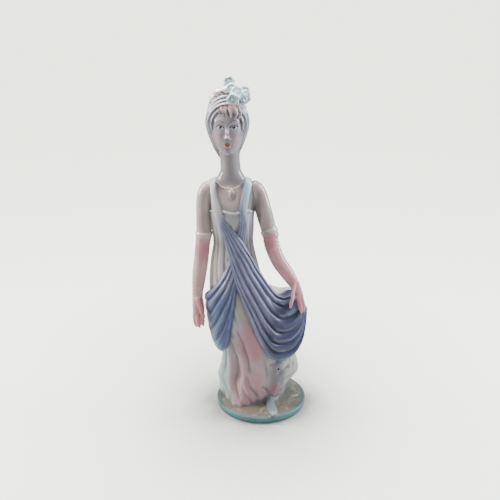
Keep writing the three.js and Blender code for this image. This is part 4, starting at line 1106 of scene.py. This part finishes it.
class Painting:
    """Short way to lay shader nodes in one tree."""

    def __init__(self, tree):
        self.tree = tree

    def node(self, kind, **settings):
        """New node with its settings."""
        node = self.tree.nodes.new(kind)
        for name, value in settings.items():
            setattr(node, name, value)
        return node

    def feed(self, socket, value):
        """Links another node's output to a socket, or sets the socket's own value."""
        if isinstance(value, bpy.types.NodeSocket):
            self.tree.links.new(value, socket)
        else:
            socket.default_value = value

    def fill(self, node, values):
        """Feeds a node's sockets by name."""
        for name, value in values.items():
            self.feed(node.inputs[name], value)

    def math(self, operation, first, second=0.0):
        """Result of one sum."""
        node = self.node("ShaderNodeMath", operation=operation)
        self.feed(node.inputs[0], first)
        self.feed(node.inputs[1], second)
        return node.outputs[0]

    def vector(self, operation, first, second=(0.0, 0.0, 0.0)):
        """Node of one vector sum."""
        node = self.node("ShaderNodeVectorMath", operation=operation)
        self.feed(node.inputs[0], first)
        self.feed(node.inputs[1], second)
        return node

    def ramp(self, value, low, high, start=0.0, end=1.0):
        """Smooth change from start to end while the value goes from low to high."""
        node = self.node("ShaderNodeMapRange", interpolation_type="SMOOTHSTEP")
        self.fill(node, {"Value": value, "From Min": low, "From Max": high, "To Min": start, "To Max": end})
        return node.outputs["Result"]

    def colour(self, factor, under, over, blend="MIX"):
        """One paint over another."""
        node = self.node("ShaderNodeMix", data_type="RGBA", blend_type=blend)
        self.feed(node.inputs["Factor"], factor)
        self.feed(node.inputs[6], under)
        self.feed(node.inputs[7], over)
        return node.outputs[2]

    def attribute(self, name):
        """Value stored on the mesh."""
        return self.node("ShaderNodeAttribute", attribute_name=name).outputs["Fac"]

    def noise(self, place, scale, detail=3.0, roughness=0.55):
        """Cloudy noise from about 0 to 1."""
        node = self.node("ShaderNodeTexNoise")
        self.fill(node, {"Vector": place, "Scale": scale, "Detail": detail, "Roughness": roughness})
        return node.outputs["Fac"]

    def group(self, tree, **inputs):
        """Output of a shader effect with its inputs fed by name."""
        node = self.node("ShaderNodeGroup", node_tree=tree)
        self.fill(node, {name.title(): value for name, value in inputs.items()})
        return node.outputs[0]


def effect(name, inputs, output):
    """Empty shader effect with named inputs and one named float output: its tree, painting, start and end."""
    tree = bpy.data.node_groups.new(name, "ShaderNodeTree")
    for label, default in inputs.items():
        kind = "NodeSocketVector" if isinstance(default, tuple) else "NodeSocketFloat"
        tree.interface.new_socket(label, in_out="INPUT", socket_type=kind).default_value = default
    tree.interface.new_socket(output, in_out="OUTPUT", socket_type="NodeSocketFloat")
    paint = Painting(tree)
    return tree, paint, paint.node("NodeGroupInput").outputs, paint.node("NodeGroupOutput").inputs


def brushed_area():
    """Mask of a hand-painted area: its border value, made uneven by the brush."""
    inputs = {"Border": 0.0, "Place": ORIGIN, "Waver": BORDER_WAVER, "Softness": BORDER_SOFTNESS}
    tree, paint, given, result = effect("Brushed area", inputs, "Mask")
    uneven = paint.math("SUBTRACT", paint.noise(given["Place"], **BORDER_NOISE), 0.5)
    border = paint.math("ADD", given["Border"], paint.math("MULTIPLY", uneven, given["Waver"]))
    edge = paint.math("MULTIPLY", given["Softness"], -1.0)
    paint.feed(result["Mask"], paint.ramp(border, edge, given["Softness"]))
    return tree


def share_of_reach(paint, given):
    """Way from the centre of a mark to a place, as shares of the mark's reach along each axis."""
    away = paint.vector("SUBTRACT", given["Place"], given["Centre"]).outputs[0]
    return paint.vector("DIVIDE", away, given["Reach"]).outputs[0]


def airbrushed_patch():
    """Mask of a soft sprayed patch round a centre, with a reach along each axis in metres."""
    inputs = {"Place": ORIGIN, "Centre": ORIGIN, "Reach": ALL_ROUND, "Core": 0.2}
    tree, paint, given, result = effect("Airbrushed patch", inputs, "Mask")
    length = paint.vector("LENGTH", share_of_reach(paint, given)).outputs["Value"]
    paint.feed(result["Mask"], paint.ramp(length, given["Core"], 1.0, 1.0, 0.0))
    return tree


def brush_stroke():
    """Mask of a curved brush line: the upper arc of an oval, with its reach along each axis in metres."""
    inputs = {"Place": ORIGIN, "Centre": ORIGIN, "Reach": ALL_ROUND, "Thickness": 0.1, "Lift": 0.3}
    tree, paint, given, result = effect("Brush stroke", inputs, "Mask")
    share = share_of_reach(paint, given)
    length = paint.vector("LENGTH", share).outputs["Value"]
    parts = paint.node("ShaderNodeSeparateXYZ")
    paint.feed(parts.inputs[0], share)
    off_line = paint.math("ABSOLUTE", paint.math("SUBTRACT", length, 1.0))
    core = paint.math("MULTIPLY", given["Thickness"], STROKE_CORE)
    line = paint.ramp(off_line, core, given["Thickness"], 1.0, 0.0)
    upper = paint.ramp(parts.outputs["Z"], given["Lift"], paint.math("ADD", given["Lift"], STROKE_FADE))
    paint.feed(result["Mask"], paint.math("MULTIPLY", line, upper))
    return tree


def mm(*values):
    """Millimetres as metres."""
    return tuple(value * MILLIMETRE for value in values)


class FigurinePainting(Painting):
    """Painting of the whole casting, with the places and marks that its areas share."""

    def __init__(self, tree):
        super().__init__(tree)
        self.area = brushed_area()
        self.patch = airbrushed_patch()
        self.stroke = brush_stroke()
        self.place = self.node("ShaderNodeTexCoord").outputs["Object"]
        axes = self.node("ShaderNodeSeparateXYZ")
        self.feed(axes.inputs[0], self.place)
        self.x, self.y, self.z = axes.outputs
        self.hollow = self.attribute("hollow")
        self.sunken = self.attribute("sunken")
        self.clouds = self.noise(self.place, CLOUD_SCALE)

    def within(self, name):
        """Mask of a painted area."""
        border = {"border": self.attribute(name), "waver": BORDER_WAVER, "softness": BORDER_SOFTNESS}
        return self.group(self.area, place=self.place, **border)

    def sprayed(self, centre, reach, core, strength):
        """Mask of one sprayed patch."""
        mask = self.group(self.patch, place=self.place, centre=mm(*centre), reach=mm(*reach), core=core)
        return self.math("MULTIPLY", mask, strength)

    def sprays(self, marks):
        """Mask of patches sprayed as one."""
        strongest = self.sprayed(*marks[0])
        for mark in marks[1:]:
            strongest = self.math("MAXIMUM", strongest, self.sprayed(*mark))
        return strongest

    def patched(self, colour, patches, blend="MIX"):
        """Sprayed patches over a paint, one after another."""
        for *mark, tint in patches:
            colour = self.colour(self.sprayed(*mark), colour, tint, blend)
        return colour

    def stroked(self, centre, reach, thickness, lift, strength):
        """Mask of one brush line."""
        mark = {"centre": mm(*centre), "reach": mm(*reach), "thickness": thickness, "lift": lift}
        return self.math("MULTIPLY", self.group(self.stroke, place=self.place, **mark), strength)

    def clouded(self, name):
        """Cloudy mix of an area's two paints."""
        first, second, low, high, share = CLOUDY_PAINTS[name]
        return self.colour(self.ramp(self.clouds, low, high, 0.0, share), first, second)

    def shaded(self, colour, name):
        """An area's painted shade, laid in its creases and hollows."""
        deep, fine, broad = VALLEY_SHADE_PAINTS[name]
        fine_dip = self.ramp(self.hollow, *FINE_DIP, 0.0, fine)
        broad_dip = self.ramp(self.sunken, *BROAD_DIP, 0.0, broad)
        return self.colour(self.math("MAXIMUM", fine_dip, broad_dip), colour, deep)


def gown_paint(paint):
    """Warm white, with painted shade in the folds and on the lower right, a painted highlight by the left
    hip, rose down the skirt front and a painted aqua highlight down the left edge.
    """
    colour = paint.patched(paint.clouded("gown"), GOWN_PATCHES)
    rose = paint.math("MULTIPLY", paint.sprays(ROSE_SPRAYS), paint.ramp(paint.clouds, *ROSE_CLOUDS))
    colour = paint.colour(rose, colour, ROSE)
    aqua = paint.math("MULTIPLY", paint.ramp(paint.x, *AQUA_EDGE_HIGHLIGHT["x"]), paint.ramp(paint.z, *AQUA_EDGE_HIGHLIGHT["z"]))
    colour = paint.colour(paint.math("MULTIPLY", aqua, AQUA_EDGE_HIGHLIGHT["strength"]), colour, EDGE_AQUA_HIGHLIGHT)
    return paint.shaded(colour, "gown")


def arm_paint(paint):
    """Bare arms: beige, with painted shade in the valleys and towards the body."""
    colour = paint.shaded(paint.clouded("arm"), "arm")
    return paint.colour(paint.sprays(INNER_ARM_SHADE_SPRAYS), colour, ARM_SHADE)


def shawl_paint(paint):
    """Blue-grey, painted shade below right, slate below left, teal tips, pale shoulders with a painted
    highlight on the right one, painted highlights on the crests, painted shade in the valleys.
    """
    colour = paint.patched(paint.clouded("shawl"), SHAWL_SHADE_AND_TINTS, "MULTIPLY")
    colour = paint.colour(paint.sprays(TEAL_SPRAYS), colour, TEAL)
    colour = paint.patched(colour, SHOULDER_PATCHES)
    colour = paint.colour(paint.ramp(paint.hollow, *SHAWL_CREST_HIGHLIGHT), colour, SHAWL_PALE_AND_HIGHLIGHT)
    return paint.patched(paint.shaded(colour, "shawl"), LINING_PATCHES)


def glove_paint(paint):
    """Dusty rose, strongest under the cuffs and on the hands, with a painted highlight midway down one glove
    and painted shade in the creases.
    """
    colour = paint.colour(paint.sprays(GLOVE_SPRAYS), paint.clouded("glove"), GLOVE_DEEP)
    return paint.shaded(paint.patched(colour, FOREARM_HIGHLIGHT_PATCHES), "glove")


def cuff_paint(paint):
    """Pale pink, shaded under the left arm's bend."""
    return paint.patched(paint.shaded(CUFF_PINK, "cuff"), CUFF_PATCHES)


def turban_paint(paint):
    """Lilac grey, with a painted highlight in cream on the crests and painted shade in the valleys."""
    colour = paint.colour(paint.ramp(paint.hollow, *TURBAN_CREST_HIGHLIGHT), TURBAN_GREY, TURBAN_HIGHLIGHT_CREAM)
    return paint.shaded(colour, "turban")


def puff_paint(paint):
    """Cream cloth, with rosy painted shade in its dimples and gathers."""
    gathered = paint.math("MAXIMUM", paint.sprays(PUFF_DIMPLE_SHADE), paint.ramp(paint.hollow, *PUFF_GATHER_SHADE))
    return paint.colour(gathered, PUFF_CREAM, PUFF_SHADE)


def hair_paint(paint):
    """Grey fringe with reddish roots, painted highlights on the strands' crests and painted shade in their
    valleys.
    """
    colour = paint.colour(paint.ramp(paint.z, *HAIR_ROOT_LINE), HAIR_ROOT_AND_SHADE, HAIR)
    colour = paint.colour(paint.ramp(paint.hollow, *HAIR_CREST_HIGHLIGHT), colour, HAIR_HIGHLIGHT)
    return paint.shaded(colour, "hair")


def bloom_paint(paint):
    """Aqua white flowers, bluer in their hearts."""
    return paint.colour(paint.ramp(paint.hollow, *BLOOM_VALLEY), BLOOM_AQUA, BLOOM_HEART)


def shoe_paint(paint):
    """Cloudy blue."""
    return paint.clouded("shoe")


def ground_paint(paint):
    """Mottled earth with a cream edge, and the teal rim below it."""
    mottle = paint.noise(paint.place, **GROUND_MOTTLE)
    colour = paint.colour(paint.ramp(mottle, *GROUND_MOTTLE_GREY), GROUND_BEIGE, GROUND_GREY)
    colour = paint.patched(colour, GROUND_PATCHES)
    blotches = paint.noise(paint.place, **GROUND_BLOTCHES)
    colour = paint.colour(paint.ramp(blotches, *GROUND_BLOTCH_CREAM), colour, GROUND_CREAM)
    flat_place = paint.node("ShaderNodeCombineXYZ")
    paint.feed(flat_place.inputs[0], paint.x)
    paint.feed(flat_place.inputs[1], paint.y)
    span = paint.vector("LENGTH", flat_place.outputs[0]).outputs["Value"]
    waver = paint.math("MULTIPLY", paint.noise(paint.place, RIM_WAVER["scale"]), RIM_WAVER["reach"])
    span = paint.math("ADD", span, waver)
    colour = paint.colour(paint.ramp(span, *RIM_CREAM_LINE), colour, RIM_CREAM)
    rim = paint.colour(paint.ramp(paint.z, *RIM_DARK_FOOT), RIM_TEAL, RIM_DARK)
    return paint.colour(paint.ramp(span, *RIM_TEAL_LINE), colour, rim)


def skin_paint(paint):
    """Cool face and neck and a peach chest, with painted shade on the drop and in the valleys, and the
    painted face with a painted glint in each eye.
    """
    colour = paint.shaded(paint.patched(SKIN, CHEST_PATCHES), "skin")
    for side in (-1, 1):
        aside, y, z, *spray = CHEEK_SPRAY
        colour = paint.colour(paint.sprayed((FACE_X + side * aside, y, z), *spray), colour, BLUSH)
        eye = FACE_X + side * EYE_ASIDE
        for shift, z, reach, core, tint in EYE_PAINTS:
            colour = paint.colour(paint.sprayed((eye + shift, EYE_Y, z), reach, core, 1.0), colour, tint)
        for shift, *line, tint in EYE_LINES:
            centre = (eye + side * shift, EYE_Y, EYE_LINE_Z)
            colour = paint.colour(paint.stroked(centre, *line), colour, tint)
    for aside, y, z, *spray in LIP_SPRAYS:
        colour = paint.colour(paint.sprayed((FACE_X + aside, y, z), *spray), colour, LIP_RED)
    return colour


# Painted areas in the order in which they lie over the gown
AREA_PAINTS = [
    ("arm", arm_paint), ("glove", glove_paint), ("skin", skin_paint), ("ground", ground_paint),
    ("shoe", shoe_paint), ("shawl", shawl_paint), ("turban", turban_paint), ("puff", puff_paint),
    ("hair", hair_paint), ("bloom", bloom_paint), ("cuff", cuff_paint),
]


def painted_porcelain():
    """Underglaze painting of the whole casting, with its painted shade and highlights, below one clear gloss
    glaze.
    """
    material = bpy.data.materials.new("painted porcelain")
    material.use_nodes = True
    tree = material.node_tree
    tree.nodes.clear()
    paint = FigurinePainting(tree)
    colour = gown_paint(paint)
    for name, area_paint in AREA_PAINTS:
        colour = paint.colour(paint.within(name), colour, area_paint(paint))
    colour = paint.patched(colour, VENT_SHADE_PATCHES)

    shader = paint.node("ShaderNodeBsdfPrincipled")
    paint.feed(shader.inputs["Base Color"], colour)
    grain = paint.ramp(paint.noise(paint.place, **GRAIN), *GRAIN_ROUGHNESS)
    satin = paint.ramp(paint.attribute("shawl"), *INTO_AREA, 0.0, SHAWL_SATIN)
    paint.feed(shader.inputs["Roughness"], paint.math("ADD", grain, satin))
    ground_coat = paint.ramp(paint.attribute("ground"), *INTO_AREA, FULL_COAT, GROUND_COAT)
    shawl_coat = paint.ramp(paint.attribute("shawl"), *INTO_AREA, FULL_COAT, SHAWL_COAT)
    paint.feed(shader.inputs["Coat Weight"], paint.math("MINIMUM", ground_coat, shawl_coat))
    shader.inputs["Coat Roughness"].default_value = COAT_ROUGHNESS
    shader.inputs["IOR"].default_value = GLAZE_IOR
    bump = paint.node("ShaderNodeBump")
    bump.inputs["Strength"].default_value = DIMPLE_STRENGTH
    bump.inputs["Distance"].default_value = DIMPLE_DEPTH
    paint.feed(bump.inputs["Height"], paint.noise(paint.place, **DIMPLE))
    paint.feed(shader.inputs["Normal"], bump.outputs[0])
    output = paint.node("ShaderNodeOutputMaterial")
    paint.feed(output.inputs["Surface"], shader.outputs[0])
    return material


def place_figurine():
    """The figurine in the shared frame."""
    groups = modelled_groups()
    mesh = figurine_mesh(groups)
    paint_borders(mesh, groups)
    points = vertex_array(mesh) * MILLIMETRE
    mesh.vertices.foreach_set("co", points.astype(np.float32).ravel())
    mesh.shade_smooth()
    mesh.materials.clear()
    mesh.materials.append(painted_porcelain())
    mesh.name = "porcelain_lady"
    figurine = bpy.data.objects.new("porcelain_lady", mesh)
    bpy.context.scene.collection.objects.link(figurine)
    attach(figurine, "root")
    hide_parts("figurine")
    return figurine


# Studio: the paper sweep and the room
BACKDROP_GREY = (0.42, 0.42, 0.41, 1.0)
BACKDROP_GLOW = (3.2, 3.25, 2.88, 1.0)
PAPER_ROUGHNESS = 0.8
# painted contact shadow round the figurine: reach and samples of the occlusion, and how it dims the glow
CONTACT_REACH = 0.3
CONTACT_SAMPLES = 8
CONTACT_SHADE = (0.78, 1.0, 0.05, 1.0)
SWEEP_WIDTH = 12.0
SWEEP_FRONT = -4.0
SWEEP_BEND = 1.4
SWEEP_RADIUS = 1.6
SWEEP_TOP = 4.0
SWEEP_STEPS = 60
ROOM_TINT = (0.93, 0.96, 1.0, 1.0)
ROOM_GLOW = 0.07

# Lamps: name, place, target, width, height, power, tint
LIGHTS = [
    ("overhead softbox", (0.0, 0.12, 0.8), (0, 0, 0.15), 0.6, 0.45, 6.5, (1.0, 0.99, 0.97)),
    ("crown lamp", (-0.12, 0.01, 0.5), (-0.03, 0, 0.25), 0.12, 0.12, 1.3, (1.0, 0.99, 0.97)),
    ("front softbox", (0.1, -1.3, 0.6), (0, 0, 0.16), 1.1, 1.1, 2.8, (1.0, 0.99, 0.98)),
    ("right window", (0.62, 0.08, 0.46), (0, 0, 0.18), 0.2, 0.6, 7.0, (0.88, 0.94, 1.0)),
    ("left window", (-0.62, 0.06, 0.46), (0, 0, 0.17), 0.2, 0.6, 6.5, (1.0, 0.96, 0.9)),
]


def paper_sweep():
    """Plain pale floor running up into a backdrop, glowing for the camera, with a painted contact shadow
    round the figurine.
    """
    bend = np.linspace(0, math.pi / 2, SWEEP_STEPS)
    profile = [(SWEEP_FRONT, 0.0)]
    profile += list(zip(SWEEP_BEND + SWEEP_RADIUS * np.sin(bend), SWEEP_RADIUS * (1 - np.cos(bend))))
    profile += [(SWEEP_BEND + SWEEP_RADIUS, SWEEP_TOP)]
    points = np.array([(side * SWEEP_WIDTH / 2, y, z) for y, z in profile for side in (-1, 1)])
    start = np.arange(len(profile) - 1) * 2
    faces = np.stack([start, start + 1, start + 3, start + 2], -1)
    mesh = mesh_of("paper_sweep", points, faces)
    mesh.shade_smooth()
    paper = bpy.data.materials.new("pale paper")
    paper.use_nodes = True
    shader = paper.node_tree.nodes["Principled BSDF"]
    shader.inputs["Base Color"].default_value = BACKDROP_GREY
    shader.inputs["Roughness"].default_value = PAPER_ROUGHNESS
    shader.inputs["Emission Color"].default_value = BACKDROP_GLOW
    paint = Painting(paper.node_tree)
    # painted contact shadow: the glow seen by the camera dims where the figurine shuts out the room
    open_sky = paint.node("ShaderNodeAmbientOcclusion", samples=CONTACT_SAMPLES)
    open_sky.inputs["Distance"].default_value = CONTACT_REACH
    seen = paint.node("ShaderNodeLightPath").outputs["Is Camera Ray"]
    glow = paint.math("MULTIPLY", seen, paint.ramp(open_sky.outputs["AO"], *CONTACT_SHADE))
    paint.feed(shader.inputs["Emission Strength"], glow)
    mesh.materials.append(paper)
    sweep = bpy.data.objects.new("paper_sweep", mesh)
    bpy.context.scene.collection.objects.link(sweep)


def aimed(thing, place, target):
    """Puts a light or camera at a place, looking at a target."""
    thing.location = place
    thing.rotation_euler = (Vector(target) - Vector(place)).to_track_quat("-Z", "Y").to_euler()


def studio_lights():
    """Soft area lights and an even room."""
    for name, place, target, width, height, power, tint in LIGHTS:
        light = bpy.data.lights.new(name, "AREA")
        light.shape = "RECTANGLE"
        light.size, light.size_y = width, height
        light.energy = power
        light.color = tint
        lamp = bpy.data.objects.new(name, light)
        bpy.context.scene.collection.objects.link(lamp)
        aimed(lamp, place, target)
    world = bpy.data.worlds.new("room")
    world.use_nodes = True
    background = world.node_tree.nodes["Background"]
    background.inputs["Color"].default_value = ROOM_TINT
    background.inputs["Strength"].default_value = ROOM_GLOW
    bpy.context.scene.world = world


# Camera of the photograph
CAMERA_PLACE = (-0.0104, -0.550, 0.345)
CAMERA_PITCH = math.radians(70.5)
CAMERA_LENS = 48.1
SENSOR_WIDTH = 36
NEAREST_SEEN = 0.05


def photo_camera():
    """Camera that frames the figurine as the photograph does."""
    camera = bpy.data.cameras.new("photo_camera")
    camera.lens = CAMERA_LENS
    camera.sensor_width = SENSOR_WIDTH
    camera.clip_start = NEAREST_SEEN
    viewer = bpy.data.objects.new("photo_camera", camera)
    viewer.location = CAMERA_PLACE
    viewer.rotation_euler = (CAMERA_PITCH, 0, 0)
    bpy.context.scene.collection.objects.link(viewer)
    bpy.context.scene.camera = viewer


place_figurine()
paper_sweep()
studio_lights()
photo_camera()
